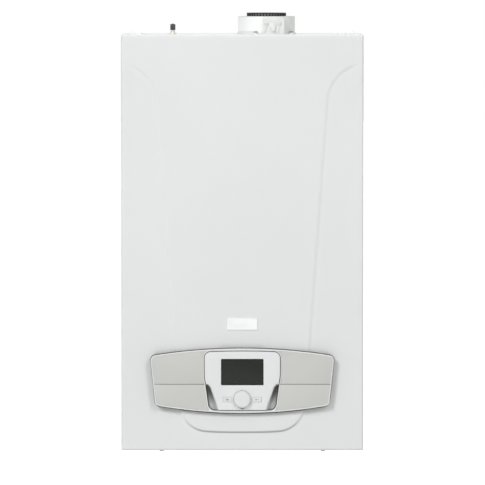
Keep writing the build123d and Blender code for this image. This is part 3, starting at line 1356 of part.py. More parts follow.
with BuildPart() as pressure_gauge:
    with BuildSketch(floor(GAUGE_FOOT)):
        with Locations((GAUGE_X, -GAUGE_DEPTH)):
            Circle(GAUGE_RADIUS)
    extrude(amount=GAUGE_TALL)
    with BuildSketch(floor(GAUGE_FOOT)):
        with Locations((GAUGE_X, -GAUGE_DEPTH)):
            Circle(GAUGE_RADIUS - 2)
    extrude(amount=6, mode=Mode.SUBTRACT)
    with BuildSketch(floor(GAUGE_FOOT + 2)):
        with Locations((GAUGE_X, -GAUGE_DEPTH)):
            Circle(NEEDLE_PIN)
    extrude(amount=4)
save(pressure_gauge.part, "pressure_gauge")

with BuildPart() as gauge_needle:
    with BuildSketch(floor(GAUGE_FOOT + 3)):
        with Locations((GAUGE_X, -GAUGE_DEPTH)):
            Circle(3.4)
        with Locations((GAUGE_X, -GAUGE_DEPTH - 6)):
            Rectangle(1.4, 18)
        with Locations((GAUGE_X, -GAUGE_DEPTH)):
            Circle(NEEDLE_PIN + RUNNING, mode=Mode.SUBTRACT)
    extrude(amount=1.2)
save(gauge_needle.part, "gauge_needle")

# Control panel: hollow moulding with two sunk wings and a bay for the removable unit

PANEL_WALL = 2.0
PANEL_SKIN = 4.0
WING_FLOOR = 1.6
WING_THICK = WING_FLOOR - WING_SUNK
BAY_CLEAR = 0.6
BAY_WALL = 2.0
BAY_FLOOR = 4.0
STRIP_HALF = 62.0

with BuildSketch() as wing_outline:
    add(grown(PANEL, -PANEL_RIM))
    add(grown(UNIT, BAY_CLEAR + BAY_WALL), mode=Mode.SUBTRACT)
    with Locations((0, KNOB_LEVEL)):
        Rectangle(2 * STRIP_HALF, CASE_WIDTH, mode=Mode.SUBTRACT)
WINGS = wing_outline.sketch

with BuildPart() as control_panel:
    extrude(placed(PANEL, PANEL_BACK), amount=PANEL_FACE - PANEL_BACK)
    fillet(control_panel.edges().group_by(Axis.Y)[0], 1.2)
    extrude(placed(grown(PANEL, -PANEL_WALL), PANEL_BACK), amount=PANEL_FACE - PANEL_SKIN - PANEL_BACK, mode=Mode.SUBTRACT)
    extrude(placed(grown(UNIT, BAY_CLEAR + BAY_WALL), PANEL_BACK), amount=PANEL_FACE - PANEL_BACK)
    extrude(placed(grown(UNIT, BAY_CLEAR), PANEL_BACK + BAY_FLOOR), amount=PANEL_FACE - PANEL_BACK, mode=Mode.SUBTRACT)
    extrude(placed(WINGS, PANEL_FACE - WING_FLOOR), amount=WING_FLOOR, mode=Mode.SUBTRACT)
save(control_panel.part, "control_panel")

with BuildPart() as wing_trims:
    extrude(placed(grown(WINGS, -0.1), PANEL_FACE - WING_FLOOR), amount=WING_THICK)
    with BuildSketch(front(PANEL_FACE - WING_SUNK - 0.4)):
        with Locations((0, WING_GROOVE_HEIGHT)):
            Rectangle(CASE_WIDTH, WING_GROOVE)
    extrude(amount=1, mode=Mode.SUBTRACT)
save(wing_trims.part, "wing_trims")

# Removable control unit: front shell, back plate, board, glass, knob and two buttons

SCOOP_DEEP = 11.0
SCOOP_SLOPE = 34.0
SCOOP_TOP_X = 62.9
SCOOP_TOP = 125.5
SCOOP_KNEE_X = 45.3
SCOOP_KNEE = 83.5
SCOOP_FOOT_X = 36.0
UNIT_SHELL_BACK = UNIT_REAR + UNIT_BACK_THICK
UNIT_SKIN = UNIT_FACE - UNIT_WALL
BUTTON_LEVEL = KNOB_LEVEL - 0.5
BUTTON_CLEAR = 0.35
BUTTON_FLANGE = 1.6
UNIT_BOARD = 344.0
SWITCH_TALL = 5.0

with BuildSketch() as scoop_outline:
    for side in (-1, 1):
        with BuildLine():
            Polyline(
                (side * SCOOP_TOP_X, SCOOP_TOP),
                (side * (SCOOP_TOP_X - 5), SCOOP_TOP - 6),
                (side * SCOOP_KNEE_X, SCOOP_KNEE),
                (side * SCOOP_FOOT_X, UNIT_FOOT - 20),
                (side * 100, UNIT_FOOT - 20),
                (side * 100, SCOOP_TOP),
                (side * SCOOP_TOP_X, SCOOP_TOP),
            )
        make_face()
SCOOPS = scoop_outline.sketch

with BuildSketch() as cavity_outline:
    add(grown(UNIT, -UNIT_WALL))
    add(grown(SCOOPS, UNIT_WALL), mode=Mode.SUBTRACT)
CAVITY = cavity_outline.sketch

with BuildPart() as unit_front:
    extrude(placed(UNIT, UNIT_SHELL_BACK), amount=UNIT_FACE - UNIT_SHELL_BACK)
    fillet(unit_front.edges().group_by(Axis.Y)[0], 1.5)
    extrude(placed(SCOOPS, UNIT_FACE), amount=-SCOOP_DEEP, taper=SCOOP_SLOPE, mode=Mode.SUBTRACT)
    extrude(placed(CAVITY, UNIT_SHELL_BACK), amount=UNIT_SKIN - UNIT_SHELL_BACK, mode=Mode.SUBTRACT)
    with BuildSketch(front(UNIT_SKIN)):
        with Locations((0, WINDOW_LEVEL)):
            RectangleRounded(WINDOW_WIDTH, WINDOW_HEIGHT, 2)
        with Locations((0, BUTTON_LEVEL)):
            with GridLocations(2 * BUTTON_X, 0, 2, 1):
                RectangleRounded(BUTTON_WIDTH + 2 * BUTTON_CLEAR, BUTTON_HEIGHT + 2 * BUTTON_CLEAR, 2)
        with Locations((0, KNOB_LEVEL)):
            Circle(SPINDLE_RADIUS + FIT)
    extrude(amount=UNIT_WALL, mode=Mode.SUBTRACT)
save(unit_front.part, "unit_front")

with BuildPart() as unit_back:
    extrude(placed(UNIT, UNIT_REAR), amount=UNIT_BACK_THICK)
    with BuildSketch(front(UNIT_SHELL_BACK)):
        with Locations((0, WINDOW_LEVEL + 3)):
            with GridLocations(96, 44, 2, 2):
                Circle(3)
    extrude(amount=UNIT_BOARD - UNIT_SHELL_BACK)
save(unit_back.part, "unit_back")

with BuildPart() as unit_board:
    with BuildSketch(front(UNIT_BOARD)):
        with Locations((0, WINDOW_LEVEL + 5)):
            RectangleRounded(118, 52, 2)
        with Locations((0, KNOB_LEVEL + 9)):
            Rectangle(76, 48)
    extrude(amount=BOARD_THICK)
    with BuildSketch(front(UNIT_BOARD + BOARD_THICK)):
        with Locations((0, BUTTON_LEVEL)):
            with GridLocations(2 * BUTTON_X, 0, 2, 1):
                Rectangle(6, 6)
    extrude(amount=SWITCH_TALL)
    with BuildSketch(front(UNIT_BOARD + BOARD_THICK)):
        with Locations((0, KNOB_LEVEL)):
            Rectangle(13, 13)
            Circle(SPINDLE_RADIUS + RUNNING, mode=Mode.SUBTRACT)
    extrude(amount=UNIT_SKIN - UNIT_BOARD - BOARD_THICK - 3)
    with BuildSketch(front(UNIT_BOARD + BOARD_THICK)):
        with Locations((0, WINDOW_LEVEL)):
            Rectangle(WINDOW_WIDTH + 4, WINDOW_HEIGHT + 4)
    extrude(amount=UNIT_SKIN - GLASS_THICK - UNIT_BOARD - BOARD_THICK)
save(unit_board.part, "unit_board")

with BuildPart() as display_glass:
    with BuildSketch(front(UNIT_SKIN - GLASS_THICK)):
        with Locations((0, WINDOW_LEVEL)):
            RectangleRounded(WINDOW_WIDTH + 2 * GLASS_LAP, WINDOW_HEIGHT + 2 * GLASS_LAP, 2)
    extrude(amount=GLASS_THICK)
save(display_glass.part, "display_glass")

with BuildPart() as knob_spindle:
    with BuildSketch(front(UNIT_BOARD + BOARD_THICK + 1)):
        with Locations((0, KNOB_LEVEL)):
            Circle(SPINDLE_RADIUS)
    extrude(amount=UNIT_FACE + KNOB_PROUD - 3.5 - UNIT_BOARD - BOARD_THICK - 1)
save(knob_spindle.part, "knob_spindle")

KNOB_REST = KNOB_TRAVEL + 0.4

with BuildPart() as knob:
    with BuildSketch(front(UNIT_FACE + KNOB_REST)):
        with Locations((0, KNOB_LEVEL)):
            Circle(KNOB_RADIUS)
    extrude(amount=2.6)
    with BuildSketch(front(UNIT_FACE + KNOB_REST)):
        with Locations((0, KNOB_LEVEL)):
            Circle(KNOB_RADIUS)
    extrude(amount=KNOB_PROUD - KNOB_REST, taper=math.degrees(math.atan((KNOB_RADIUS - KNOB_FACE_RADIUS) / KNOB_PROUD)))
    fillet(knob.edges().group_by(Axis.Y)[0], 1.0)
    with BuildSketch(front(UNIT_FACE + KNOB_REST)):
        with Locations((0, KNOB_LEVEL)):
            Circle(SPINDLE_RADIUS + RUNNING)
    extrude(amount=KNOB_PROUD - KNOB_REST - 1.6, mode=Mode.SUBTRACT)
save(knob.part, "knob")

for name, x in (("menu_button", -BUTTON_X), ("back_button", BUTTON_X)):
    with BuildPart() as button:
        with BuildSketch(front(UNIT_SKIN - TOUCH - BUTTON_FLANGE)):
            with Locations((x, BUTTON_LEVEL)):
                RectangleRounded(BUTTON_WIDTH, BUTTON_HEIGHT, 1.8)
        extrude(amount=UNIT_WALL + TOUCH + BUTTON_FLANGE + BUTTON_PROUD)
        fillet(button.edges().group_by(Axis.Y)[0], 0.6)
        with BuildSketch(front(UNIT_SKIN - TOUCH - BUTTON_FLANGE)):
            with Locations((x, BUTTON_LEVEL)):
                RectangleRounded(BUTTON_WIDTH + 2.4, BUTTON_HEIGHT + 2.4, 2.4)
        extrude(amount=BUTTON_FLANGE)
        with BuildSketch(front(UNIT_BOARD + BOARD_THICK + SWITCH_TALL + KNOB_TRAVEL + TOUCH)):
            with Locations((x, BUTTON_LEVEL)):
                Circle(2.2)
        extrude(amount=UNIT_SKIN - UNIT_BOARD - BOARD_THICK - SWITCH_TALL - KNOB_TRAVEL - TOUCH - 1)
    save(button.part, name)
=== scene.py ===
"""Wall-hung condensing boiler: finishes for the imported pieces, and finer pieces for what shows.

Lengths in the classes are millimetres. X runs right, depths are measured from the wall towards
the room (-Y) and heights from the casing's lower edge.
"""

import logging
import math
from dataclasses import dataclass
from enum import Enum
from typing import Any, Callable, Optional, Sequence, Union

import bmesh
import bpy
import numpy as np
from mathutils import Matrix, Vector


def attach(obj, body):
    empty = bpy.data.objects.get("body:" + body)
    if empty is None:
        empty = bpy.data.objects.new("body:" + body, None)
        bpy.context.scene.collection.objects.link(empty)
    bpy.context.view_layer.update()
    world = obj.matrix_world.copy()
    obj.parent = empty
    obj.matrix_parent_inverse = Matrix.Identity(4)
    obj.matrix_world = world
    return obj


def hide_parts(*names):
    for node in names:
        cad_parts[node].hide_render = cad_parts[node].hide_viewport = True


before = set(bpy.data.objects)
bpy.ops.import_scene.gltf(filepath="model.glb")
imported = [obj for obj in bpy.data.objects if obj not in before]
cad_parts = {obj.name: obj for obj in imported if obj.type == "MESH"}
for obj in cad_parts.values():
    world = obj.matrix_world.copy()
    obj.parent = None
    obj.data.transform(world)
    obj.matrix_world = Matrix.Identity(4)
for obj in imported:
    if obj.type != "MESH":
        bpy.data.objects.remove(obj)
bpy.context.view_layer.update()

LOG = logging.getLogger("boiler")
MM = 0.001
ORIGIN_LEVEL = 700.0
FORWARD = Vector((0, -1, 0))
# Degrees over which an edge is sharp, and under which neighbouring faces are one flat face
SHARP = 32.0
FLAT = 0.5
Point = tuple[float, float]
Triple = tuple[float, float, float]
Colour = Triple


def place(x: float, depth: float, height: float) -> Vector:
    """Point in metres for X, depth and height in millimetres."""
    return Vector((x * MM, -depth * MM, z_of(height)))


def srgb(red: int, green: int, blue: int) -> Colour:
    """Linear colour of an eight-bit display colour."""
    values = [v / 255 for v in (red, green, blue)]
    return tuple(v / 12.92 if v <= 0.04045 else ((v + 0.055) / 1.055) ** 2.4 for v in values)


def shaded(colour: Colour, share: float) -> Colour:
    """The colour at a share of its strength."""
    return tuple(share * c for c in colour)


def z_of(height: float) -> float:
    """Z in metres of a height in millimetres."""
    return (height - ORIGIN_LEVEL) * MM


# Shader tools

# Sockets of a Mix node that mixes colours: factor, first, second, and the result
MIX_INPUTS = (0, 6, 7)
MIX_OUTPUT = 2


class Signal:
    """A node output with arithmetic on it, so that shader maths reads as an expression."""

    def __init__(self, paint: "Paint", socket: bpy.types.NodeSocket) -> None:
        """Wraps a socket of a paint's node tree."""
        self.paint = paint
        self.socket = socket

    def _math(self, operation: str, *values: "Value") -> "Signal":
        """Adds one Math node.

        Args:
            operation: the node's operation.
            values: its inputs, in order.

        Returns:
            The node's result.
        """
        return self.paint.node("ShaderNodeMath", {"operation": operation}, *values)

    def __add__(self, other: "Value") -> "Signal":
        """Sum."""
        return self._math("ADD", self, other)

    def __radd__(self, other: "Value") -> "Signal":
        """Sum, reflected."""
        return self._math("ADD", other, self)

    def __sub__(self, other: "Value") -> "Signal":
        """Difference."""
        return self._math("SUBTRACT", self, other)

    def __rsub__(self, other: "Value") -> "Signal":
        """Difference, reflected."""
        return self._math("SUBTRACT", other, self)

    def __mul__(self, other: "Value") -> "Signal":
        """Product."""
        return self._math("MULTIPLY", self, other)

    def __rmul__(self, other: "Value") -> "Signal":
        """Product, reflected."""
        return self._math("MULTIPLY", other, self)

    def __pow__(self, other: "Value") -> "Signal":
        """Power."""
        return self._math("POWER", self, other)

    def absolute(self) -> "Signal":
        """Absolute value."""
        return self._math("ABSOLUTE", self)

    def ramp(self, low: float, high: float) -> "Signal":
        """Smooth rise from 0 at low to 1 at high."""
        settings = {"interpolation_type": "SMOOTHSTEP", "clamp": True}
        return self.paint.node("ShaderNodeMapRange", settings, self, low, high, 0.0, 1.0)


Value = Union[Signal, float, int, Sequence[float]]
Tint = Union[Signal, Colour]


class Paint:
    """One material under construction."""

    def __init__(self, name: str) -> None:
        """Starts an empty material with a Principled shader and Object coordinates."""
        self.material = bpy.data.materials.new(name)
        self.material.use_nodes = True
        self.tree = self.material.node_tree
        self.tree.nodes.clear()
        self.shader = self.tree.nodes.new("ShaderNodeBsdfPrincipled")
        output = self.tree.nodes.new("ShaderNodeOutputMaterial")
        self.tree.links.new(self.shader.outputs[0], output.inputs["Surface"])
        coordinates = self.tree.nodes.new("ShaderNodeTexCoord")
        self.object = Signal(self, coordinates.outputs["Object"])

    def _feed(self, target: bpy.types.NodeSocket, value: Value) -> None:
        """Links a signal to a socket, or sets the socket's own value."""
        if isinstance(value, Signal):
            self.tree.links.new(value.socket, target)
        elif isinstance(value, (int, float)):
            target.default_value = float(value)
        else:
            wanted = len(target.default_value)
            target.default_value = tuple(value)[:wanted] + (1.0,) * (wanted - len(value))

    def node(
        self, kind: str, settings: dict[str, Any], *values: Value, output: int = 0, **named: Value
    ) -> Signal:
        """Adds a node of any kind.

        Args:
            kind: the node's type.
            settings: its properties, set before its inputs.
            values: values or links of its first inputs, in order.
            output: which output to return.
            named: values or links of inputs by name, with underscores for spaces.

        Returns:
            The chosen output.
        """
        made = self.tree.nodes.new(kind)
        for key, setting in settings.items():
            setattr(made, key, setting)
        for socket, value in zip(made.inputs, values):
            self._feed(socket, value)
        for key, value in named.items():
            self._feed(made.inputs[key.replace("_", " ")], value)
        return Signal(self, made.outputs[output])

    def set(self, **named: Value) -> None:
        """Feeds the shader's own sockets by name, with underscores for spaces."""
        for key, value in named.items():
            self._feed(self.shader.inputs[key.replace("_", " ")], value)

    def stretched(self, x: float, y: float, z: float) -> Signal:
        """Object coordinates scaled by a factor along each axis."""
        return self.node("ShaderNodeMapping", {}, Vector=self.object, Scale=(x, y, z))

    def noise(self, scale: float, detail: float = 2.0, where: Optional[Signal] = None) -> Signal:
        """Noise from 0 to 1 at a scale in features per metre."""
        spot = where or self.object
        return self.node("ShaderNodeTexNoise", {}, Vector=spot, Scale=scale, Detail=detail)

    def cells(self, scale: float, output: int = 0) -> Signal:
        """Distance, or colour as output 1, of cells at a scale in cells per metre."""
        return self.node(
            "ShaderNodeTexVoronoi", {}, Vector=self.object, Scale=scale, output=output
        )

    def axes(self, vector: Optional[Signal] = None) -> tuple[Signal, Signal, Signal]:
        """X, Y and Z of a vector, or of the Object coordinates in metres."""
        made = self.tree.nodes.new("ShaderNodeSeparateXYZ")
        self.tree.links.new((vector or self.object).socket, made.inputs[0])
        return tuple(Signal(self, socket) for socket in made.outputs)

    def mixed(self, factor: Value, first: Tint, second: Tint) -> Signal:
        """Colour between two colours."""
        made = self.tree.nodes.new("ShaderNodeMix")
        made.data_type = "RGBA"
        for socket, value in zip(MIX_INPUTS, (factor, first, second)):
            self._feed(made.inputs[socket], value)
        return Signal(self, made.outputs[MIX_OUTPUT])

    def bump(self, height: Signal, distance: float, strength: float) -> Signal:
        """Normal of a height signal, with the distance in metres."""
        return self.node("ShaderNodeBump", {}, Height=height, Distance=distance, Strength=strength)


# Finishes


@dataclass(frozen=True)
class Finish:
    """A surface with a colour, a gloss and a fine texture of its own."""

    name: str
    colour: Colour
    roughness: float

    def shade(self, paint: Paint) -> None:
        """Fills in the shader of a new paint."""
        raise NotImplementedError

    def material(self) -> bpy.types.Material:
        """Returns the finish's material, made once."""
        made = bpy.data.materials.get(self.name)
        if made is None:
            paint = Paint(self.name)
            self.shade(paint)
            made = paint.material
        return made


@dataclass(frozen=True)
class Enamel(Finish):
    """Baked powder paint on sheet steel: faint orange peel and a slow drift of tone."""

    peel: float = 0.000012
    fine_peel: float = 900.0
    broad_peel: float = 260.0
    darkest: float = 0.975

    def tone(self, paint: Paint) -> Signal:
        """Slow drift of tone over the sheet."""
        drift = paint.noise(3.5).ramp(0.3, 0.7)
        return paint.mixed(drift, self.colour, shaded(self.colour, self.darkest))

    def shade(self, paint: Paint) -> None:
        """Peel bump and slow drift of tone."""
        peel = paint.noise(self.fine_peel) * 0.7 + paint.noise(self.broad_peel, 1.0) * 0.3
        paint.set(Base_Color=self.tone(paint), Specular_IOR_Level=0.4)
        paint.set(Roughness=self.roughness + 0.05 * paint.noise(40.0, 3.0))
        paint.set(Normal=paint.bump(peel, self.peel, 0.5))


@dataclass(frozen=True)
class SteppedEnamel(Enamel):
    """Powder paint with painted shade: a grey band where the pressed step faces down."""

    painted_shade_line: Colour = (0.3, 0.3, 0.3)
    low_depth: float = 341.0
    first_turn: float = 0.22
    full_turn: float = 0.8

    def tone(self, paint: Paint) -> Signal:
        """Painted shade: grey where the surface stands proud of the low face and turns down."""
        normal = paint.node("ShaderNodeNewGeometry", {}, output=1)
        _, _, up = paint.axes(normal)
        _, y, _ = paint.axes()
        proud = 1.0 - y.ramp(-(self.low_depth + 0.5) * MM, -(self.low_depth + 0.1) * MM)
        # Painted shade: faces of the raised step that turn down take the grey colour.
        down = (0.0 - up).ramp(self.first_turn, self.full_turn)
        return paint.mixed(down * proud, super().tone(paint), self.painted_shade_line)


@dataclass(frozen=True)
class Moulded(Finish):
    """Injection-moulded plastic with a fine spark-eroded grain."""

    grain: float = 0.00002
    grain_scale: float = 2600.0
    grain_strength: float = 0.6
    drift_share: float = 0.5
    darkest: float = 0.95

    def tone(self, paint: Paint) -> Signal:
        """Slight tone differences over the moulding."""
        drift = paint.noise(9.0, 3.0) * self.drift_share
        return paint.mixed(drift, self.colour, shaded(self.colour, self.darkest))

    def shade(self, paint: Paint) -> None:
        """Grain bump, with slight tone and gloss differences."""
        grain = paint.noise(self.grain_scale, 3.0)
        paint.set(Base_Color=self.tone(paint), Specular_IOR_Level=0.42)
        paint.set(Roughness=self.roughness + 0.08 * paint.noise(60.0, 4.0))
        paint.set(Normal=paint.bump(grain, self.grain, self.grain_strength))


@dataclass(frozen=True)
class DockedMoulding(Moulded):
    """White moulding painted dark behind a depth, over its bay, sunk floors and skirt, as painted
    shade in the gaps round the unit and along the cover's opening.
    """

    # Painted shade in the bay and in the gaps round the unit and the cover's opening
    painted_gap_shade: Colour = (0.05, 0.05, 0.05)
    face_depth: float = 355.0
    blend: float = 0.25

    def tone(self, paint: Paint) -> Signal:
        """Painted shade: dark behind the face, white in front of it."""
        _, y, _ = paint.axes()
        far, near = self.face_depth + self.blend, self.face_depth - self.blend
        return paint.mixed(y.ramp(-far * MM, -near * MM), super().tone(paint), self.painted_gap_shade)


@dataclass(frozen=True)
class GroovedMoulding(Moulded):
    """Grained moulding with a groove across it, with painted shade as a darker band in the groove.
    """

    painted_shade_line: Colour = (0.3, 0.3, 0.3)
    height: float = 124.0
    half: float = 0.62
    blend: float = 0.12

    def tone(self, paint: Paint) -> Signal:
        """Painted shade: darker within the groove's height."""
        _, _, z = paint.axes()
        away = (z - z_of(self.height)).absolute()
        inside = 1.0 - away.ramp((self.half - self.blend) * MM, (self.half + self.blend) * MM)
        return paint.mixed(inside, super().tone(paint), self.painted_shade_line)


@dataclass(frozen=True)
class ScoopedShell(Moulded):
    """White moulding whose finger scoops are grey, darkened further by painted shade that lightens
    towards their foot.
    """

    grain_strength: float = 0.5
    drift_share: float = 0.4
    darkest: float = 0.96
    # Grey of the scoops, darkened to stand for their shade as well
    scoop_grey_and_shade: Colour = (0.2, 0.2, 0.2)
    face_depth: float = 360.0
    lip: float = 0.9
    full: float = 4.0
    foot: float = 78.0
    brow: float = 112.0
    foot_share: float = 0.3

    def tone(self, paint: Paint) -> Signal:
        """Grey scoops with painted shade: darker by the depth under the face, and less so at the
        foot.
        """
        _, y, z = paint.axes()
        sunk = y.ramp(-(self.face_depth - self.lip) * MM, -(self.face_depth - self.full) * MM)
        # Painted shade: the scoops lighten towards their foot.
        rise = z.ramp(z_of(self.foot), z_of(self.brow))
        share = self.foot_share + (1.0 - self.foot_share) * rise
        return paint.mixed(sunk * share, super().tone(paint), self.scoop_grey_and_shade)


@dataclass(frozen=True)
class ToothedRubber(Finish):
    """Black rubber ring whose tooth gaps show a lighter ring behind."""

    middle: Point = (45.5, 155.0)
    root: float = 35.0
    width: float = 2.0
    blend: float = 0.6
    gap: Colour = (0.25, 0.25, 0.24)

    def shade(self, paint: Paint) -> None:
        """Lighter within the root radius, as far as the ring's outer half."""
        x, y, _ = paint.axes()
        across = x - self.middle[0] * MM
        away = y + self.middle[1] * MM
        radius = (across * across + away * away) ** 0.5
        start = self.root - self.width
        inner = 1.0 - radius.ramp(self.root * MM, (self.root + self.blend) * MM)
        ring = inner * radius.ramp(start * MM, (start + self.blend) * MM)
        dust = paint.noise(60.0, 4.0)
        base = paint.mixed(dust * 0.4, self.colour, tuple(c + 0.03 for c in self.colour))
        paint.set(Base_Color=paint.mixed(ring, base, self.gap))
        paint.set(Roughness=self.roughness + 0.1 * dust)
        paint.set(Normal=paint.bump(paint.cells(1200.0), 0.00005, 0.6))


@dataclass(frozen=True)
class Rubber(Finish):
    """Rubber or foam with a dull, slightly dusty surface."""

    pores: float = 1500.0
    depth: float = 0.00006

    def shade(self, paint: Paint) -> None:
        """Pore bump and a dusty tone on the high spots."""
        dust = paint.noise(30.0, 4.0).ramp(0.45, 0.75)
        dusty = tuple(c + 0.05 for c in self.colour)
        paint.set(Base_Color=paint.mixed(dust * 0.35, self.colour, dusty))
        paint.set(Roughness=self.roughness + 0.1 * dust)
        paint.set(Normal=paint.bump(paint.cells(self.pores), self.depth, 0.6))


@dataclass(frozen=True)
class Metal(Finish):
    """Bare metal with streaks of its working and a thin tarnish."""

    streak: Triple = (20.0, 20.0, 900.0)
    tarnish: Colour = (0.2, 0.16, 0.12)
    tarnish_share: float = 0.15
    relief: float = 0.00002

    def shade(self, paint: Paint) -> None:
        """Streaks in gloss and bump under blotches of tarnish."""
        streaks = paint.noise(1.0, 4.0, paint.stretched(*self.streak))
        blotch = paint.noise(24.0, 5.0).ramp(0.42, 0.78) * self.tarnish_share
        paint.set(Metallic=1.0 - 0.25 * blotch)
        paint.set(Base_Color=paint.mixed(blotch, self.colour, self.tarnish))
        paint.set(Roughness=self.roughness + 0.16 * streaks + 0.12 * blotch)
        paint.set(Normal=paint.bump(streaks, self.relief, 0.5))


@dataclass(frozen=True)
class CastMetal(Finish):
    """Sand or pressure cast alloy: rough skin with small pits."""

    def shade(self, paint: Paint) -> None:
        """Two scales of pitting and a dusty film."""
        pits = paint.noise(420.0, 5.0) * 0.6 + paint.cells(900.0) * 0.4
        film = paint.noise(16.0, 4.0).ramp(0.4, 0.7)
        paint.set(Base_Color=paint.mixed(film * 0.3, self.colour, shaded(self.colour, 0.75)))
        paint.set(Metallic=0.85, Roughness=self.roughness + 0.15 * film)
        paint.set(Normal=paint.bump(pits, 0.00015, 0.7))


@dataclass(frozen=True)
class Galvanised(Finish):
    """Zinc-coated sheet with its spangle."""

    def shade(self, paint: Paint) -> None:
        """Cells of slightly different tone and gloss."""
        tone = paint.node("ShaderNodeRGBToBW", {}, paint.cells(90.0, output=1))
        paint.set(Base_Color=paint.mixed(tone * 0.5, self.colour, shaded(self.colour, 0.8)))
        paint.set(Metallic=0.8, Roughness=self.roughness + 0.15 * tone)
        paint.set(Normal=paint.bump(paint.noise(300.0, 3.0), 0.00003, 0.4))


@dataclass(frozen=True)
class CircuitBoard(Finish):
    """Green solder mask over copper tracks."""

    def shade(self, paint: Paint) -> None:
        """Tracks as a raised brick pattern, lighter than the mask."""
        turn = (math.pi / 2, 0.0, 0.0)
        where = paint.node("ShaderNodeMapping", {}, Vector=paint.object, Rotation=turn)
        sizes = {"Scale": 160.0, "Mortar_Size": 0.08, "Brick_Width": 1.2}
        tracks = paint.node("ShaderNodeTexBrick", {}, Vector=where, output=1, **sizes)
        paint.set(Base_Color=paint.mixed(tracks, self.colour, shaded(self.colour, 1.8)))
        paint.set(Roughness=self.roughness, Normal=paint.bump(tracks, 0.00006, 0.6))


@dataclass(frozen=True)
class DisplayGlass(Finish):
    """Dark liquid-crystal window: a greenish field inside a blacker frame."""

    half_width: float = 37.6
    half_height: float = 22.6
    middle: float = 147.0
    frame_start: float = -1.2
    frame_full: float = 0.4
    frame_colour: Colour = (0.012, 0.013, 0.012)

    def shade(self, paint: Paint) -> None:
        """Frame by distance from the edge, and a faint cell raster in the field."""
        x, _, z = paint.axes()
        ends = (self.frame_start * MM, self.frame_full * MM)
        across = (x.absolute() - self.half_width * MM).ramp(*ends)
        up = ((z - z_of(self.middle)).absolute() - self.half_height * MM).ramp(*ends)
        edge = 1.0 - (1.0 - across) * (1.0 - up)
        raster = paint.cells(700.0) * 0.18
        cloud = paint.noise(28.0, 3.0).ramp(0.35, 0.75) * 0.16
        tone = paint.mixed(raster + cloud, self.colour, shaded(self.colour, 1.7))
        paint.set(Base_Color=paint.mixed(edge, tone, self.frame_colour), Specular_IOR_Level=0.22)
        paint.set(Roughness=self.roughness + 0.06 * paint.noise(50.0, 2.0))
        paint.set(Normal=paint.bump(paint.noise(700.0, 1.0), 0.000004, 0.4))


class Finishes(Enum):
    """Every finish on the boiler."""

    # The cover's grey colour on its down-turned step is painted shade.
    COVER = SteppedEnamel("cover_enamel", srgb(234, 236, 235), 0.38, painted_shade_line=srgb(150, 147, 144))
    CASING = Enamel("casing_enamel", srgb(232, 234, 233), 0.42)
    RED = Enamel("red_enamel", srgb(168, 40, 32), 0.4, 0.00003)
    # The panel's dark colour behind its face is painted shade.
    PANEL = DockedMoulding("panel_plastic", srgb(233, 234, 233), 0.36, painted_gap_shade=srgb(66, 63, 59))
    # The trim's darker band in its groove is painted shade.
    TRIM = GroovedMoulding(
        "grey_trim_plastic", srgb(207, 208, 203), 0.42, 0.00003, painted_shade_line=srgb(118, 116, 110)
    )
    # The scoops' dark grey is partly their grey moulding and partly painted shade.
    UNIT = ScoopedShell("unit_plastic", srgb(235, 236, 236), 0.34, scoop_grey_and_shade=srgb(98, 97, 94))
    KNOB = Moulded("knob_plastic", srgb(233, 234, 233), 0.32)
    # A grey plate that stands for the knob's shadow: painted shadow.
    RING = Moulded("knob_shadow_plastic", srgb(140, 138, 134), 0.5)
    MARK = Moulded("button_mark_ink", srgb(104, 103, 100), 0.5)
    SCREEN = DisplayGlass("display_window", srgb(30, 33, 28), 0.24)
    BADGE = Metal(
        "badge_metal", srgb(214, 215, 214), 0.34, (12.0, 12.0, 1600.0), (0.5, 0.5, 0.5), 0.1,
        0.00001,
    )
    ADAPTOR = Moulded("adaptor_plastic", srgb(226, 228, 227), 0.4)
    LABEL = Moulded("blank_label_film", srgb(252, 253, 253), 0.3, 0.000008)
    SEAL = ToothedRubber("toothed_seal_rubber", srgb(40, 40, 40), 0.62, gap=srgb(150, 150, 147))
    FOAM = Rubber("foam_strip", srgb(52, 52, 54), 0.85, 900.0, 0.0003)
    HOSE = Rubber("hose_rubber", srgb(50, 50, 52), 0.6)
    ZINC = Galvanised("zinc_sheet", srgb(176, 180, 184), 0.42)
    BRIGHT_ZINC = Galvanised("bright_zinc_sheet", srgb(222, 224, 225), 0.5)
    SCREW = Metal("plated_screw", srgb(150, 152, 155), 0.3)
    DARK_SCREW = Metal("dark_screw", srgb(70, 70, 72), 0.42)
    NICKEL = Metal(
        "nickel_plate", srgb(214, 211, 202), 0.36, (30.0, 30.0, 700.0), srgb(120, 112, 98), 0.3
    )
    BRASS = Metal("brass", srgb(200, 160, 88), 0.28, (30.0, 30.0, 700.0), srgb(110, 80, 40), 0.35)
    COPPER = Metal(
        "copper_pipe", srgb(200, 122, 88), 0.3, (60.0, 60.0, 60.0), srgb(96, 56, 40), 0.5
    )
    STAINLESS = Metal("stainless", srgb(196, 198, 200), 0.26, (300.0, 20.0, 20.0))
    FLUE = Metal("flue_alloy", srgb(206, 208, 212), 0.34, (14.0, 14.0, 500.0))
    CAST = CastMetal("cast_alloy", srgb(182, 184, 186), 0.5)
    BURNER = Metal(
        "burner_mesh", srgb(170, 164, 150), 0.5, (500.0, 500.0, 500.0), srgb(80, 66, 56), 0.5
    )
    COMPOSITE = Moulded("grey_composite", srgb(112, 114, 116), 0.5, 0.00005)
    BLACK = Moulded("black_composite", srgb(38, 38, 40), 0.46, 0.00005)
    VENT = Moulded("vent_cap_plastic", srgb(74, 75, 74), 0.5, 0.00005)
    RED_PLASTIC = Moulded("red_knob_plastic", srgb(186, 34, 26), 0.38)
    TRAP = Moulded("trap_plastic", srgb(222, 222, 216), 0.4)
    BOARD = CircuitBoard("circuit_board", srgb(20, 84, 50), 0.35)


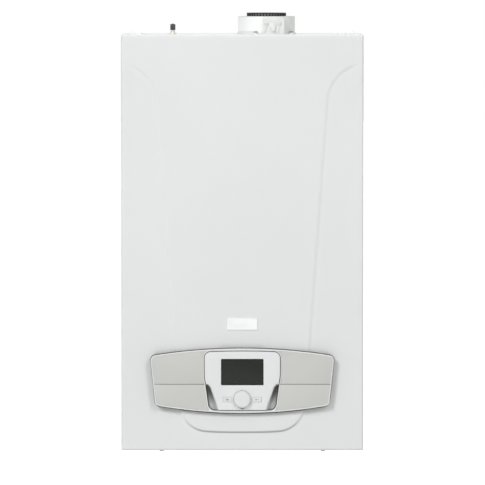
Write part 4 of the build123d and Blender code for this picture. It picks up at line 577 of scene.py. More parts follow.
NODE_FINISHES: dict[Finishes, tuple[str, ...]] = {
    Finishes.CASING: ("left_side_panel", "right_side_panel", "top_panel"),
    Finishes.BRIGHT_ZINC: ("cover_catches",),
    Finishes.ZINC: ("front_frame", "hanging_bracket", "back_panel", "bottom_plate"),
    Finishes.RED: ("expansion_vessel", "pump_motor"),
    Finishes.FOAM: ("cover_seal",),
    Finishes.SCREW: ("cover_screws", "door_nuts", "knob_spindle"),
    Finishes.DARK_SCREW: ("adaptor_screws",),
    Finishes.BRASS: ("pipe_tails", "relief_valve"),
    Finishes.NICKEL: ("vent_body",),
    Finishes.COPPER: ("gas_pipes", "heating_pipes", "domestic_pipes"),
    Finishes.STAINLESS: ("exchanger_coil", "plate_exchanger"),
    Finishes.FLUE: ("flue_riser",),
    Finishes.CAST: ("burner_door", "fan_housing", "gas_valve"),
    Finishes.BURNER: ("burner_tube", "ignition_electrodes"),
    Finishes.COMPOSITE: ("exchanger_shell", "fan_motor", "diverter_motor", "control_box"),
    Finishes.BLACK: (
        "fan_wheel", "gas_air_mixer", "diverter_valve", "pump_body", "return_block",
        "pressure_gauge",
    ),
    Finishes.RED_PLASTIC: ("relief_knob", "gauge_needle"),
    Finishes.TRAP: ("condensate_trap", "pump_impeller"),
    Finishes.HOSE: ("condensate_hose",),
    Finishes.BOARD: ("main_board", "unit_board"),
    Finishes.UNIT: ("unit_back",),
    Finishes.ADAPTOR: ("sampling_plugs",),
}


# Mesh tools


class Bench:
    """Edit-mode steps that every new piece is made with."""

    @staticmethod
    def clear() -> None:
        """Leaves edit mode and deselects everything."""
        if bpy.context.object and bpy.context.object.mode != "OBJECT":
            bpy.ops.object.mode_set(mode="OBJECT")
        bpy.ops.object.select_all(action="DESELECT")

    @staticmethod
    def pick(piece: bpy.types.Object) -> None:
        """Makes a piece the only selected and active one."""
        Bench.clear()
        piece.select_set(True)
        bpy.context.view_layer.objects.active = piece

    @staticmethod
    def faces(piece: bpy.types.Object, test: Callable[[bmesh.types.BMFace], bool]) -> None:
        """Selects the faces of the piece in edit mode that pass a test.

        Args:
            piece: the piece, already in edit mode.
            test: takes a face and says whether to select it.
        """
        bpy.ops.mesh.select_mode(type="FACE")
        bpy.ops.mesh.select_all(action="DESELECT")
        mesh = bmesh.from_edit_mesh(piece.data)
        for face in [face for face in mesh.faces if test(face)]:
            face.select_set(True)
        bmesh.update_edit_mesh(piece.data)

    @staticmethod
    def plate(name: str, outline: Sequence[Point], depth: float, thick: float) -> bpy.types.Object:
        """Flat plate with an outline of X and height, its back at a depth.

        Args:
            name: the piece's name.
            outline: corners in order.
            depth: depth of its back.
            thick: its thickness.

        Returns:
            The piece, in object mode.
        """
        Bench.clear()
        bpy.ops.mesh.primitive_circle_add(
            vertices=len(outline), radius=0.1, fill_type="NGON", enter_editmode=True
        )
        piece = bpy.context.object
        piece.name = name
        mesh = bmesh.from_edit_mesh(piece.data)
        mesh.verts.ensure_lookup_table()
        for vertex, (x, height) in zip(mesh.verts, outline):
            vertex.co = place(x, depth, height)
        bmesh.update_edit_mesh(piece.data)
        bpy.ops.mesh.select_all(action="SELECT")
        step = (0.0, -thick * MM, 0.0)
        bpy.ops.mesh.extrude_region_move(TRANSFORM_OT_translate={"value": step})
        bpy.ops.mesh.select_all(action="SELECT")
        bpy.ops.mesh.normals_make_consistent(inside=False)
        bpy.ops.object.mode_set(mode="OBJECT")
        return piece

    @staticmethod
    def turned(
        name: str, centre: Vector, axis: Vector, profile: Sequence[Point], sides: int = 64
    ) -> bpy.types.Object:
        """Round piece drawn up from a disc by extruding and scaling.

        Args:
            name: the piece's name.
            centre: a point on its axis.
            axis: unit vector along which the profile's heights run.
            profile: radius and height pairs, from the first end to the last.
            sides: sides of the circle.

        Returns:
            The piece, in object mode.
        """
        Bench.clear()
        radius, start = profile[0]
        turn = Vector((0, 0, 1)).rotation_difference(axis).to_euler()
        bpy.ops.mesh.primitive_circle_add(
            vertices=sides, radius=radius * MM, fill_type="NGON", enter_editmode=True,
            location=centre + axis * start * MM, rotation=turn,
        )
        piece = bpy.context.object
        piece.name = name
        flat = [0.0 if abs(c) > 0.5 else 1.0 for c in axis]
        for wide, height in profile[1:]:
            step = axis * (height - start) * MM
            bpy.ops.mesh.extrude_region_move(TRANSFORM_OT_translate={"value": tuple(step)})
            scale = tuple(wide / radius if f else 1.0 for f in flat)
            middle = centre + axis * height * MM
            bpy.ops.transform.resize(value=scale, center_override=tuple(middle))
            radius, start = wide, height
        bpy.ops.mesh.select_all(action="SELECT")
        bpy.ops.mesh.normals_make_consistent(inside=False)
        bpy.ops.object.mode_set(mode="OBJECT")
        bpy.ops.object.transform_apply(location=True, rotation=True, scale=True)
        return piece

    @staticmethod
    def modify(piece: bpy.types.Object, kind: str, **settings: Any) -> None:
        """Adds a modifier, sets it and applies it.

        Args:
            piece: the piece to change.
            kind: the modifier's type.
            settings: its properties.
        """
        Bench.pick(piece)
        modifier = piece.modifiers.new(kind.lower(), kind)
        for key, setting in settings.items():
            setattr(modifier, key, setting)
        bpy.ops.object.modifier_apply(modifier=modifier.name)

    @staticmethod
    def soften(
        piece: bpy.types.Object, width: float, segments: int = 2, angle: float = SHARP
    ) -> None:
        """Rounds the sharp edges of a piece and smooths its shading.

        Args:
            piece: the piece to change.
            width: width of the rounding in millimetres.
            segments: steps of the rounding.
            angle: degrees over which an edge counts as sharp.
        """
        Bench.modify(
            piece, "BEVEL", width=width * MM, segments=segments, limit_method="ANGLE",
            angle_limit=math.radians(angle), use_clamp_overlap=True,
        )
        Bench.smooth(piece, angle)

    @staticmethod
    def smooth(piece: bpy.types.Object, angle: float = SHARP) -> None:
        """Smooth shading, with edges over an angle left sharp."""
        Bench.pick(piece)
        bpy.ops.object.shade_smooth_by_angle(angle=math.radians(angle))

    @staticmethod
    def copy_of(node: str, name: str) -> bpy.types.Object:
        """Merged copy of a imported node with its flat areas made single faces.

        Args:
            node: the node to copy.
            name: the copy's name.

        Returns:
            The copy, in object mode.
        """
        Bench.clear()
        piece = bpy.data.objects.new(name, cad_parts[node].data.copy())
        bpy.context.scene.collection.objects.link(piece)
        piece.data.materials.clear()
        Bench.pick(piece)
        bpy.ops.object.mode_set(mode="EDIT")
        bpy.ops.mesh.customdata_custom_splitnormals_clear()
        bpy.ops.mesh.select_all(action="SELECT")
        bpy.ops.mesh.remove_doubles(threshold=0.01 * MM)
        bpy.ops.mesh.dissolve_limited(angle_limit=math.radians(FLAT))
        bpy.ops.object.mode_set(mode="OBJECT")
        return piece

    @staticmethod
    def cut(
        piece: bpy.types.Object, tool: bpy.types.Object, operation: str = "DIFFERENCE"
    ) -> None:
        """Cuts a tool out of a piece, or trims the piece to it, and removes the tool."""
        Bench.modify(piece, "BOOLEAN", operation=operation, solver="EXACT", object=tool)
        bpy.data.objects.remove(tool)

    @staticmethod
    def join(parts: Sequence[bpy.types.Object], name: str) -> bpy.types.Object:
        """Joins parts into one piece.

        Args:
            parts: the parts, each with its own mesh.
            name: the piece's name.

        Returns:
            The piece, in object mode.
        """
        Bench.clear()
        for part in parts:
            part.select_set(True)
        bpy.context.view_layer.objects.active = parts[0]
        bpy.ops.object.join()
        parts[0].name = name
        return parts[0]


def corner_arc(
    before: Vector, corner: Vector, after: Vector, radius: float, steps: int
) -> list[Point]:
    """Points of the arc that rounds one corner of an outline.

    Args:
        before: the corner before it.
        corner: the corner.
        after: the corner after it.
        radius: radius of the arc.
        steps: spans of the arc.

    Returns:
        The arc's points, in order.
    """
    first = (before - corner).normalized()
    second = (after - corner).normalized()
    half = first.angle(second) / 2
    reach = radius / math.tan(half)
    centre = corner + (first + second).normalized() * (radius / math.sin(half))
    start = corner + first * reach - centre
    end = corner + second * reach - centre
    sweep = start.angle_signed(end)
    points = []
    for step in range(steps + 1):
        turn = -sweep * step / steps
        c, s = math.cos(turn), math.sin(turn)
        points.append((centre.x + start.x * c - start.y * s, centre.y + start.x * s + start.y * c))
    return points


def rounded(corners: Sequence[Triple], steps: int = 8) -> list[Point]:
    """Outline from corners given as X, height and radius.

    Args:
        corners: X, height and corner radius, in order.
        steps: spans of each corner's arc.

    Returns:
        The outline's points.
    """
    spots = [Vector((x, h)) for x, h, _ in corners]
    outline: list[Point] = []
    for k, (x, height, radius) in enumerate(corners):
        if radius:
            following = spots[(k + 1) % len(spots)]
            outline += corner_arc(spots[k - 1], spots[k], following, radius, steps)
        else:
            outline.append((x, height))
    return outline


def box(x: float, height: float, half: float, half_tall: float, radius: float) -> list[Triple]:
    """Corners of an upright rectangle about a point, anticlockwise from the lower left."""
    signs = ((-1, -1), (1, -1), (1, 1), (-1, 1))
    return [(x + a * half, height + b * half_tall, radius) for a, b in signs]


def bowed(half: float, base: float, crown: float, spans: int) -> list[Point]:
    """Points strictly between the ends of a shallow arc, from left to right.

    Args:
        half: half its width, about X = 0.
        base: height of its ends.
        crown: height of its middle.
        spans: how many spans it has.

    Returns:
        The points.
    """
    places = [half * (2 * k / spans - 1) for k in range(1, spans)]
    return [(x, base + (crown - base) * (1 - (x / half) ** 2)) for x in places]


def grown(outline: Sequence[Point], amount: float) -> list[Point]:
    """The outline moved outwards all round, whichever way it runs.

    Args:
        outline: its points, in order.
        amount: how far outwards, or inwards if negative.

    Returns:
        The moved points.
    """
    following = list(outline[1:]) + [outline[0]]
    area = sum(a[0] * b[1] - b[0] * a[1] for a, b in zip(outline, following))
    reach = amount if area > 0 else -amount
    result = []
    for k, (spot, after) in enumerate(zip(outline, following)):
        along = (Vector(after) - Vector(outline[k - 1])).normalized()
        result.append((spot[0] + reach * along.y, spot[1] - reach * along.x))
    return result


def eased(values: np.ndarray) -> np.ndarray:
    """Values held between 0 and 1, with a smooth start and end."""
    held = np.clip(values, 0, 1)
    return held * held * (3 - 2 * held)


def finish(
    piece: bpy.types.Object, look: Finishes, body: str, slot: str, *nodes: str
) -> None:
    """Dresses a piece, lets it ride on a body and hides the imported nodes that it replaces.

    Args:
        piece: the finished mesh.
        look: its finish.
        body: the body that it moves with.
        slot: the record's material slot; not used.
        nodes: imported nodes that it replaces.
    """
    Bench.clear()
    piece.data.materials.clear()
    piece.data.materials.append(look.value.material())
    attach(piece, body)
    if nodes:
        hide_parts(*nodes)
    LOG.info("%s: %d faces", piece.name, len(piece.data.polygons))


# Sub-assemblies


@dataclass
class FrontCover:
    """Pressed cover: rounded pan with a raised field and an opening for the control panel."""

    half_width: float = 225.0
    height: float = 772.0
    low_face: float = 341.0
    raise_by: float = 4.0
    edge_radius: float = 4.0
    flange: float = 32.0
    sheet: float = 1.2
    # Start, end and spacing of each stretch of grid lines
    columns: tuple[Triple, ...] = ((-221, -48, 2.1), (-48, 48, 12), (48, 221, 2.1))
    rows: tuple[Triple, ...] = ((4, 84, 2), (84, 630, 12), (630, 740, 2.5), (740, 768, 6))
    # Outline of the raised field
    foot_x: float = 111.0
    foot_height: float = 39.0
    foot_sag: float = 4.7
    foot_radius: float = 50.0
    shoulder: Triple = (158.0, 694.0, 75.0)
    beyond_x: float = 292.0
    beyond_heights: Point = (762.0, 830.0)
    # Step round the field: steep at the foot, broad and low at the sides
    slope: float = 4.4
    foot_spread: float = 2.8
    side_spread: float = 2.3
    side_step: float = 2.0
    side_reach: float = 60.0
    side_start: Point = (60.0, 110.0)
    # Where the step fades out, as a start and a length in X and in height
    fade_x: Point = (196.0, 26.0)
    fade_height: Point = (650.0, 70.0)

    def field_outline(self) -> np.ndarray:
        """Outline of the raised field, run out past the casing's edges.

        Returns:
            Array of X and height.
        """
        x, foot = self.foot_x, self.foot_height
        shoulder_x, shoulder_height, shoulder_radius = self.shoulder
        low, high = self.beyond_heights
        straight = x - 0.9 * self.foot_radius
        corners = [(-x, foot, self.foot_radius)]
        corners += [
            (a, h, 0.0) for a, h in bowed(x, foot, foot - self.foot_sag, 14) if abs(a) < straight
        ]
        corners += [
            (x, foot, self.foot_radius),
            (shoulder_x, shoulder_height, shoulder_radius),
            (self.beyond_x, low, 0),
            (self.beyond_x, high, 0),
            (-self.beyond_x, high, 0),
            (-self.beyond_x, low, 0),
            (-shoulder_x, shoulder_height, shoulder_radius),
        ]
        return np.array(self.divided(rounded(corners, 20), 12.0))

    @staticmethod
    def divided(points: Sequence[Point], longest: float) -> list[Point]:
        """The same outline with its long runs divided.

        Args:
            points: its points, in order.
            longest: the longest run that stays whole.

        Returns:
            The points, with the new ones among them.
        """
        result: list[Point] = []
        for a, b in zip(points, list(points[1:]) + [points[0]]):
            spans = max(1, math.ceil(math.dist(a, b) / longest))
            run = (b[0] - a[0], b[1] - a[1])
            result += [(a[0] + run[0] * k / spans, a[1] + run[1] * k / spans) for k in range(spans)]
        return result

    @staticmethod
    def signed_distance(spots: np.ndarray, outline: np.ndarray) -> np.ndarray:
        """Distance of points to an outline, positive inside.

        Args:
            spots: points, one per row.
            outline: the outline's corners, one per row.

        Returns:
            One distance per point.
        """
        nearest = np.full(len(spots), 1e9)
        inside = np.zeros(len(spots), dtype=bool)
        for a, b in zip(outline, np.roll(outline, -1, axis=0)):
            run = b - a
            share = np.clip(((spots - a) @ run) / (run @ run), 0, 1)
            gap = np.linalg.norm(spots - a - share[:, None] * run, axis=1)
            nearest = np.minimum(nearest, gap)
            crosses = (a[1] > spots[:, 1]) != (b[1] > spots[:, 1])
            rise = run[1] if run[1] else 1e-9
            inside ^= crosses & (spots[:, 0] < a[0] + (spots[:, 1] - a[1]) * run[0] / rise)
        return np.where(inside, nearest, -nearest)

    def lines(self, stretches: Sequence[Triple], low: float, high: float) -> list[Point]:
        """Grid line positions between two edges, with the drop of the edge and the flange.

        Args:
            stretches: start, end and spacing of each stretch.
            low: the lower edge.
            high: the upper edge.

        Returns:
            Position and drop of every line.
        """
        flats: list[float] = []
        for start, end, spacing in stretches:
            count = max(1, round((end - start) / spacing))
            flats += [start + (end - start) * k / count for k in range(count)]
        flats.append(stretches[-1][1])
        r = self.edge_radius
        turns = [math.radians(a) for a in (15, 30, 45, 60, 75, 90)]
        arc = [(r - r * math.sin(a), r - r * math.cos(a)) for a in turns]
        arc += [(0.0, r + (self.flange - r) * k / 3) for k in (1, 2, 3)]
        bottom = [(low + inset, drop) for inset, drop in reversed(arc)]
        return bottom + [(f, 0.0) for f in flats] + [(high - inset, drop) for inset, drop in arc]

    def raised(self, spots: np.ndarray) -> np.ndarray:
        """How far the face stands proud of the low face.

        Args:
            spots: points of X and height, one per row.

        Returns:
            One rise per point, in millimetres.
        """
        distance = self.signed_distance(spots, self.field_outline())
        start, length = self.side_start
        side = np.clip((spots[:, 1] - start) / length, 0, 1)
        steep = eased((distance + self.foot_spread + self.side_spread * side) / self.slope)
        broad = eased(1 + distance / self.side_reach)
        share = (1 - self.side_step / self.raise_by) * side
        lift = (1 - share) * steep + share * broad
        out = eased((np.abs(spots[:, 0]) - self.fade_x[0]) / self.fade_x[1])
        above = eased((spots[:, 1] - self.fade_height[0]) / self.fade_height[1])
        return self.raise_by * (1 - (1 - lift) * (1 - out * above))

    def depth(self, rise: float, drop: float) -> float:
        """Depth of a grid point, where the flange's edge lies in one plane.

        Args:
            rise: how far the face stands proud there.
            drop: drop of the rounded edge or the flange.

        Returns:
            The depth.
        """
        edge = self.edge_radius
        face = self.low_face + rise
        if drop <= edge:
            return face - drop
        share = (drop - edge) / (self.flange - edge)
        return (face - edge) * (1 - share) + (self.low_face - self.flange) * share

    def build(self, opening: Sequence[Point]) -> None:
        """Builds the cover.

        Args:
            opening: outline of the opening for the panel.
        """
        across = self.lines(self.columns, -self.half_width, self.half_width)
        upward = self.lines(self.rows, 0.0, self.height)
        Bench.clear()
        bpy.ops.mesh.primitive_grid_add(
            x_subdivisions=len(across) - 1, y_subdivisions=len(upward) - 1, size=1.0,
            enter_editmode=True,
        )
        piece = bpy.context.object
        piece.name = "pressed_cover"
        mesh = bmesh.from_edit_mesh(piece.data)
        xs = sorted({round(v.co.x, 5) for v in mesh.verts})
        ys = sorted({round(v.co.y, 5) for v in mesh.verts})
        column = {x: k for k, x in enumerate(xs)}
        row = {y: k for k, y in enumerate(ys)}
        places = [(column[round(v.co.x, 5)], row[round(v.co.y, 5)]) for v in mesh.verts]
        rises = self.raised(np.array([(across[i][0], upward[j][0]) for i, j in places]))
        for vertex, (i, j), rise in zip(mesh.verts, places, rises):
            depth = self.depth(float(rise), max(across[i][1], upward[j][1]))
            vertex.co = place(across[i][0], depth, upward[j][0])
        bmesh.update_edit_mesh(piece.data)
        bpy.ops.mesh.select_all(action="SELECT")
        bpy.ops.mesh.remove_doubles(threshold=0.02 * MM)
        bpy.ops.mesh.dissolve_degenerate(threshold=0.02 * MM)
        bpy.ops.mesh.normals_make_consistent(inside=False)
        if sum(face.normal.y for face in bmesh.from_edit_mesh(piece.data).faces) > 0:
            bpy.ops.mesh.flip_normals()
        bpy.ops.object.mode_set(mode="OBJECT")
        wall = {"thickness": self.sheet * MM, "offset": -1.0, "use_even_offset": True}
        Bench.modify(piece, "SOLIDIFY", **wall)
        Bench.cut(piece, Bench.plate("opening_tool", opening, 300, 60))
        Bench.soften(piece, 0.45, 2, 60)
        finish(piece, Finishes.COVER, "cover", "white_enamel", "front_cover")


@dataclass
class Badge:
    """Bare plate on the cover: a rounded bar with a sunk field."""

    width: float = 57.0
    height: float = 22.0
    corner: float = 2.0
    middle: float = 235.8
    depth: float = 345.0
    thick: float = 2.0
    rim: float = 1.6
    chamfer: float = 0.3
    sunk: float = 0.5

    def build(self) -> None:
        """Builds the plate with a sunk bare field."""
        corners = box(0.0, self.middle, self.width / 2, self.height / 2, self.corner)
        piece = Bench.plate("bare_badge", rounded(corners, 5), self.depth, self.thick)
        Bench.pick(piece)
        bpy.ops.object.mode_set(mode="EDIT")
        Bench.faces(piece, lambda face: face.normal.y < -0.9)
        bpy.ops.mesh.inset(thickness=self.rim * MM)
        bpy.ops.mesh.inset(thickness=self.chamfer * MM, depth=-self.sunk * MM)
        bpy.ops.object.mode_set(mode="OBJECT")
        Bench.soften(piece, 0.25)
        finish(piece, Finishes.BADGE, "cover", "badge", "badge_plate")


@dataclass
class ControlPanel:
    """White panel moulding with its two grey wings."""

    half_top: float = 171.3
    half_foot: float = 161.5
    top_corner: float = 176.5
    top_crown: float = 190.7
    foot_corner: float = 84.6
    foot_crown: float = 70.5
    radius: float = 10.0
    gap: float = 0.9
    foot_gap: float = 1.2
    spans: int = 22

    def opening(self) -> list[Point]:
        """Outline of the cover's opening, with more room under the panel's foot."""
        wider = grown(self.outline(), self.gap)
        return [(x, h - self.foot_gap * (h < self.foot_corner)) for x, h in wider]

    def outline(self) -> list[Point]:
        """Barrel-shaped outline, anticlockwise from the lower left.

        Returns:
            The outline's points.
        """
        foot = bowed(self.half_foot, self.foot_corner, self.foot_crown, self.spans)
        top = bowed(self.half_top, self.top_corner, self.top_crown, self.spans)
        corners = [(-self.half_foot, self.foot_corner, self.radius)]
        corners += [(x, h, 0.0) for x, h in foot]
        corners.append((self.half_foot, self.foot_corner, self.radius))
        corners.append((self.half_top, self.top_corner, self.radius))
        corners += [(x, h, 0.0) for x, h in reversed(top)]
        corners.append((-self.half_top, self.top_corner, self.radius))
        return rounded(corners)

    def build(self) -> None:
        """Builds the moulding and the wings with rounded edges."""
        panel = Bench.copy_of("control_panel", "panel_moulding")
        Bench.soften(panel, 0.5, angle=35)
        finish(panel, Finishes.PANEL, "casing", "white_plastic", "control_panel")
        wings = Bench.copy_of("wing_trims", "wing_covers")
        Bench.soften(wings, 0.18, angle=35)
        finish(wings, Finishes.TRIM, "casing", "grey_trim", "wing_trims")


@dataclass
class ControlUnit:
    """Removable control unit: shell with finger scoops, display, knob, a grey ring of painted
    shadow behind the knob, and buttons.
    """

    face: float = 360.0
    window_half: float = 39.5
    window_half_tall: float = 24.5
    window_middle: float = 147.0
    window_lap: float = 2.0
    glass_depth: float = 356.5
    glass_thick: float = 1.5
    button_x: float = 27.7
    button_level: float = 95.8
    button_face: float = 361.3
    mark_sunk: float = 0.05
    mark_thick: float = 0.13
    bar_pitch: float = 1.1
    knob_level: float = 96.3
    knob_rest: float = 1.2
    knob_radius: float = 16.2
    knob_face_radius: float = 13.8
    knob_proud: float = 9.0
    spindle_bore: float = 3.05
    # Grey plate of painted shadow behind the knob: rim, thickness, spread of its point and bore
    ring_rim: float = 0.55
    ring_thick: float = 0.3
    ring_spread: float = 29.0
    ring_bore: float = 8.0
    half_top: float = 70.8
    half_waist: float = 70.4
    half_foot: float = 61.5
    waist: float = 140.0
    foot: float = 75.8
    foot_radius: float = 13.0
    top_corner: float = 184.5
    top_crown: float = 186.0
    top_radius: float = 12.0
    trim: float = 0.6

    def outline(self) -> list[Point]:
        """Tray-shaped outline, anticlockwise from the lower left.

        Returns:
            The outline's points.
        """
        top = bowed(self.half_top, self.top_corner, self.top_crown, 12)
        corners = [(x, self.foot, self.foot_radius) for x in (-self.half_foot, self.half_foot)]
        corners.append((self.half_waist, self.waist, 0.0))
        corners.append((self.half_top, self.top_corner, self.top_radius))
        corners += [(x, h, 0.0) for x, h in reversed(top[1:-1])]
        corners.append((-self.half_top, self.top_corner, self.top_radius))
        corners.append((-self.half_waist, self.waist, 0.0))
        return rounded(corners, 10)

    def shell(self) -> None:
        """Front shell, trimmed to a clear shadow gap, with rounded edges."""
        shell = Bench.copy_of("unit_front", "unit_shell")
        tool = Bench.plate("trim_tool", grown(self.outline(), -self.trim), 330, 40)
        Bench.cut(shell, tool, "INTERSECT")
        Bench.soften(shell, 0.5, 3, 30)
        finish(shell, Finishes.UNIT, "control_unit", "white_plastic", "unit_front")

    def window(self) -> None:
        """Display window behind the shell's opening."""
        half, tall = self.window_half + self.window_lap, self.window_half_tall + self.window_lap
        corners = rounded(box(0.0, self.window_middle, half, tall, 2), 5)
        glass = Bench.plate("display_window", corners, self.glass_depth, self.glass_thick)
        Bench.soften(glass, 0.2)
        finish(glass, Finishes.SCREEN, "control_unit", "display_glass", "display_glass")

    def bore(self, piece: bpy.types.Object, radius: float, start: float, end: float) -> None:
        """Bores a piece about the knob's axis, between two depths from the shell's face."""
        centre = place(0, self.face, self.knob_level)
        profile = [(radius, start), (radius, end)]
        Bench.cut(piece, Bench.turned("bore_tool", centre, FORWARD, profile, 48))

    def knob(self) -> None:
        """Selector knob: skirt, waist and a slightly domed face, bored for its spindle."""
        r, f, rest, top = self.knob_radius, self.knob_face_radius, self.knob_rest, self.knob_proud
        profile = [
            (r - 1.4, rest), (r - 0.3, rest + 0.1), (r, rest + 0.6), (r, rest + 1.5),
            (r - 0.35, rest + 1.9), (r - 0.8, rest + 2.1), (r - 1.0, rest + 2.6),
            (f + 0.55, top - 1.6), (f + 0.2, top - 0.9), (f - 0.5, top - 0.4),
            (f - 1.6, top - 0.22), (f * 0.6, top - 0.06), (f * 0.25, top), (1.0, top),
        ]
        centre = place(0, self.face, self.knob_level)
        knob = Bench.turned("selector_cap", centre, FORWARD, profile, 96)
        self.bore(knob, self.spindle_bore, -3.0, top - 1.6)
        Bench.smooth(knob, 40)
        finish(knob, Finishes.KNOB, "selector_knob", "white_plastic", "knob")

    def ring(self) -> None:
        """Painted shadow: thin grey ring behind the knob, drawn out to a point at its foot, where
        the knob's shadow falls.
        """
        radius = self.knob_radius + self.ring_rim
        spread = math.radians(self.ring_spread)
        outline = []
        for k in range(61):
            turn = math.pi * 1.5 + spread + (2 * math.pi - 2 * spread) * k / 60
            outline.append((radius * math.cos(turn), self.knob_level + radius * math.sin(turn)))
        outline.append((0.0, self.knob_level - radius / math.cos(spread)))
        ring = Bench.plate("knob_shadow_plate", outline, self.face - 0.1, 0.1 + self.ring_thick)
        self.bore(ring, self.ring_bore, -3.0, 3.0)
        Bench.soften(ring, 0.08, 1)
        finish(ring, Finishes.RING, "control_unit", "white_plastic")

    def buttons(self) -> None:
        """Two push buttons with plain signs: three bars on the left, an arrow on the right."""
        for node, body, side in (
            ("menu_button", "left_button", -1),
            ("back_button", "right_button", 1),
        ):
            button = Bench.copy_of(node, f"{body}_cap")
            Bench.soften(button, 0.25)
            finish(button, Finishes.KNOB, body, "white_plastic", node)
            x, height = side * self.button_x, self.button_level
            if side < 0:
                marks = [self.bar(x, height + k * self.bar_pitch, 3.1, 0.275) for k in (-1, 0, 1)]
            else:
                marks = [self.bar(x + 0.6, height, 2.6, 0.3), self.head(x - 2.6)]
            sign = Bench.join(marks, f"{body}_sign")
            finish(sign, Finishes.MARK, body, "white_plastic")

    def mark(self, outline: Sequence[Point]) -> bpy.types.Object:
        """Thin raised part of a button's sign."""
        return Bench.plate("mark", outline, self.button_face - self.mark_sunk, self.mark_thick)

    def bar(self, x: float, height: float, half: float, half_tall: float) -> bpy.types.Object:
        """Bar of a button's sign."""
        return self.mark(rounded(box(x, height, half, half_tall, 0.9 * half_tall), 4))

    def head(self, x: float) -> bpy.types.Object:
        """Arrow head of a button's sign."""
        tips = ((-1.5, 0.0), (0.9, -1.4), (0.9, 1.4))
        return self.mark(rounded([(x + a, self.button_level + b, 0.1) for a, b in tips], 3))

    def build(self) -> None:
        """Builds every piece of the unit."""
        self.shell()
        self.window()
        self.knob()
        self.ring()
        self.buttons()


@dataclass
class FlueAdaptor:
    """Flue adaptor with its ribs, lever tab and blank label, and the toothed seal on top."""

    x: float = 45.5
    depth: float = 155.0
    radius: float = 53.6
    foot: float = 772.0
    tall: float = 33.5
    boss_left: float = 38.9
    boss_face: float = 213.6
    samples: Point = (43.6, 67.9)
    sunk: float = 0.5
    rib_lean: float = 4.5
    rib_heights: Point = (3.2, 15.5)
    rib_thick: float = 3.0
    tab_half: float = 3.6
    tab_heights: Point = (5.5, 16.0)
    tab_thick: float = 5.2
    film: float = 0.2
    film_proud: float = 0.25

    def label(self) -> None:
        """Blank film label wrapped round the left of the collar."""
        Bench.clear()
        bpy.ops.mesh.primitive_cylinder_add(
            vertices=96, radius=(self.radius + self.film_proud) * MM, depth=(self.tall - 8) * MM,
            end_fill_type="NOTHING", enter_editmode=True,
            location=place(self.x, self.depth, self.foot + self.tall / 2 + 2),
        )
        label = bpy.context.object
        label.name = "blank_label"
        edge = (self.boss_left - 1.5 - self.x) * MM

        def spare(face: bmesh.types.BMFace) -> bool:
            """Whether a face lies right of the label or behind the collar's middle."""
            middle = face.calc_center_median()
            return middle.x > edge or middle.y > 0

        Bench.faces(label, spare)
        bpy.ops.mesh.delete(type="FACE")
        bpy.ops.object.mode_set(mode="OBJECT")
        bpy.ops.object.transform_apply(location=True, rotation=True, scale=True)
        Bench.modify(label, "SOLIDIFY", thickness=self.film * MM, offset=-1.0)
        Bench.smooth(label, 40)
        finish(label, Finishes.LABEL, "casing", "adaptor_plastic")

    def ribs(self) -> None:
        """Two slanted ribs and a lever tab on the sampling boss."""
        back = self.boss_face - self.sunk
        low, high = (self.foot + h for h in self.rib_heights)
        parts = []
        for top in self.samples:
            start = top - self.rib_lean
            corners = [(start - 1.6, low), (start + 2.6, low), (top + 3.2, high), (top - 1.4, high)]
            outline = rounded([(x, h, 0.6) for x, h in corners], 3)
            parts.append(Bench.plate("rib", outline, back, self.rib_thick))
        centre = sum(self.samples) / 2 + 2.0
        low, high = (self.foot + h for h in self.tab_heights)
        tab = rounded(box(centre, (low + high) / 2, self.tab_half, (high - low) / 2, 0.9), 3)
        parts.append(Bench.plate("tab", tab, back, self.tab_thick))
        ribs = Bench.join(parts, "boss_ribs")
        Bench.soften(ribs, 0.35)
        finish(ribs, Finishes.ADAPTOR, "casing", "adaptor_plastic")

    def build(self) -> None:
        """Builds the adaptor, its label, its ribs and its seal."""
        body = Bench.copy_of("flue_adaptor", "adaptor_moulding")
        Bench.soften(body, 0.5, angle=35)
        finish(body, Finishes.ADAPTOR, "casing", "adaptor_plastic", "flue_adaptor")
        seal = Bench.copy_of("flue_crown", "toothed_seal")
        Bench.soften(seal, 0.3, angle=35)
        finish(seal, Finishes.SEAL, "casing", "black_rubber", "flue_crown")
        self.label()
        self.ribs()


@dataclass
class BleedVent:
    """Hand-turned cap of the bleed vent."""

    edge: float = 0.25

    def build(self) -> None:
        """Builds the cap with rounded flutes."""
        cap = Bench.copy_of("vent_cap", "fluted_cap")
        Bench.soften(cap, self.edge, angle=35)
        finish(cap, Finishes.VENT, "bleed_cap", "vent_grey", "vent_cap")


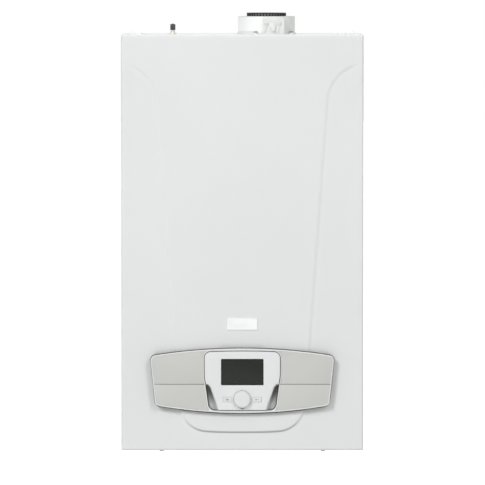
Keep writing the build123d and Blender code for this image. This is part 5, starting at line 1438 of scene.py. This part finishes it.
@dataclass
class Studio:
    """Floor, lamps, world and camera, in metres."""

    floor_level: float = -1.72
    floor_size: float = 90.0
    floor_glow: float = 0.9
    tilt: float = 2.5
    distance: float = 12.0
    view_width: float = 0.90035
    sensor: float = 36.0
    target: Triple = (0.0004, -0.345, -0.3129)
    ambient: float = 0.3
    # Name, place, side and watts of each lamp
    lamps: tuple[tuple[str, Triple, float, float], ...] = (
        ("key_lamp", (-2.5, -4.4, 2.3), 1.5, 128.0),
        ("fill_lamp", (2.6, -4.4, 2.1), 1.5, 65.0),
        ("overhead_lamp", (0.0, 0.7, 2.0), 3.0, 28.0),
    )

    @staticmethod
    def rays(tree: bpy.types.NodeTree) -> bpy.types.NodeSocket:
        """One for camera, glossy and transmission rays, else zero.

        Args:
            tree: the node tree that needs it.

        Returns:
            The output that holds it.
        """
        path = tree.nodes.new("ShaderNodeLightPath")
        seen = path.outputs["Is Camera Ray"]
        for name in ("Is Glossy Ray", "Is Transmission Ray"):
            either = tree.nodes.new("ShaderNodeMath")
            either.operation = "MAXIMUM"
            tree.links.new(seen, either.inputs[0])
            tree.links.new(path.outputs[name], either.inputs[1])
            seen = either.outputs[0]
        return seen

    def floor(self) -> None:
        """Pale floor that shows white and keeps the shadow."""
        Bench.clear()
        spot = (0.0, 20.0, self.floor_level)
        bpy.ops.mesh.primitive_plane_add(size=self.floor_size, location=spot)
        floor = bpy.context.object
        floor.name = "floor"
        paint = Paint("pale_floor")
        grain = paint.noise(3.0, 3.0) * 0.2
        paint.set(Base_Color=paint.mixed(grain, (0.84, 0.84, 0.84), (0.8, 0.8, 0.8)), Roughness=0.8)
        nodes, links = paint.tree.nodes, paint.tree.links
        glow = nodes.new("ShaderNodeEmission")
        strength = Signal(paint, self.rays(paint.tree)) * self.floor_glow
        links.new(strength.socket, glow.inputs["Strength"])
        total = nodes.new("ShaderNodeAddShader")
        links.new(paint.shader.outputs[0], total.inputs[0])
        links.new(glow.outputs[0], total.inputs[1])
        output = next(n for n in nodes if n.type == "OUTPUT_MATERIAL")
        links.new(total.outputs[0], output.inputs["Surface"])
        floor.data.materials.append(paint.material)

    def lamp(self, name: str, spot: Triple, size: float, watts: float) -> None:
        """Square soft lamp that looks at the boiler.

        Args:
            name: its name.
            spot: its place.
            size: its side.
            watts: its power.
        """
        light = bpy.data.lights.new(name, "AREA")
        light.energy = watts
        light.size = size
        lamp = bpy.data.objects.new(name, light)
        lamp.location = spot
        aim = Vector(self.target) - Vector(spot)
        lamp.rotation_euler = aim.to_track_quat("-Z", "Y").to_euler()
        bpy.context.scene.collection.objects.link(lamp)

    def world(self) -> None:
        """White where it is seen, dimmer where it lights."""
        world = bpy.data.worlds.new("studio")
        bpy.context.scene.world = world
        world.use_nodes = True
        tree = world.node_tree
        tree.nodes.clear()
        strength = tree.nodes.new("ShaderNodeMapRange")
        tree.links.new(self.rays(tree), strength.inputs["Value"])
        strength.inputs["To Min"].default_value = self.ambient
        strength.inputs["To Max"].default_value = 1.0
        back = tree.nodes.new("ShaderNodeBackground")
        back.inputs["Color"].default_value = (1.0, 1.0, 1.0, 1.0)
        tree.links.new(strength.outputs[0], back.inputs["Strength"])
        output = tree.nodes.new("ShaderNodeOutputWorld")
        tree.links.new(back.outputs[0], output.inputs["Surface"])

    def camera(self) -> None:
        """Long lens, square to the front and a little above it."""
        data = bpy.data.cameras.new("camera")
        data.sensor_width = self.sensor
        data.lens = self.sensor * self.distance / self.view_width
        data.clip_end = 200.0
        camera = bpy.data.objects.new("camera", data)
        tilt = math.radians(self.tilt)
        away = Vector((0.0, -math.cos(tilt), math.sin(tilt))) * self.distance
        camera.location = Vector(self.target) + away
        camera.rotation_euler = (-away).to_track_quat("-Z", "Y").to_euler()
        bpy.context.scene.collection.objects.link(camera)
        bpy.context.scene.camera = camera

    def build(self) -> None:
        """Sets up the whole studio."""
        self.camera()
        self.world()
        self.floor()
        for lamp in self.lamps:
            self.lamp(*lamp)
        bpy.context.scene.view_settings.view_transform = "Standard"


def dress_nodes() -> None:
    """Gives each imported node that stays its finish."""
    for look, nodes in NODE_FINISHES.items():
        for node in nodes:
            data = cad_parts[node].data
            data.materials.clear()
            data.materials.append(look.value.material())
            LOG.info("%s wears %s", node, look.value.name)


def main() -> None:
    """Builds every class in order."""
    logging.basicConfig(level=logging.INFO, format="%(name)s: %(message)s")
    Studio().build()
    dress_nodes()
    panel = ControlPanel()
    FrontCover().build(panel.opening())
    Badge().build()
    panel.build()
    ControlUnit().build()
    FlueAdaptor().build()
    BleedVent().build()
    Bench.clear()


if __name__ == "__main__":
    main()
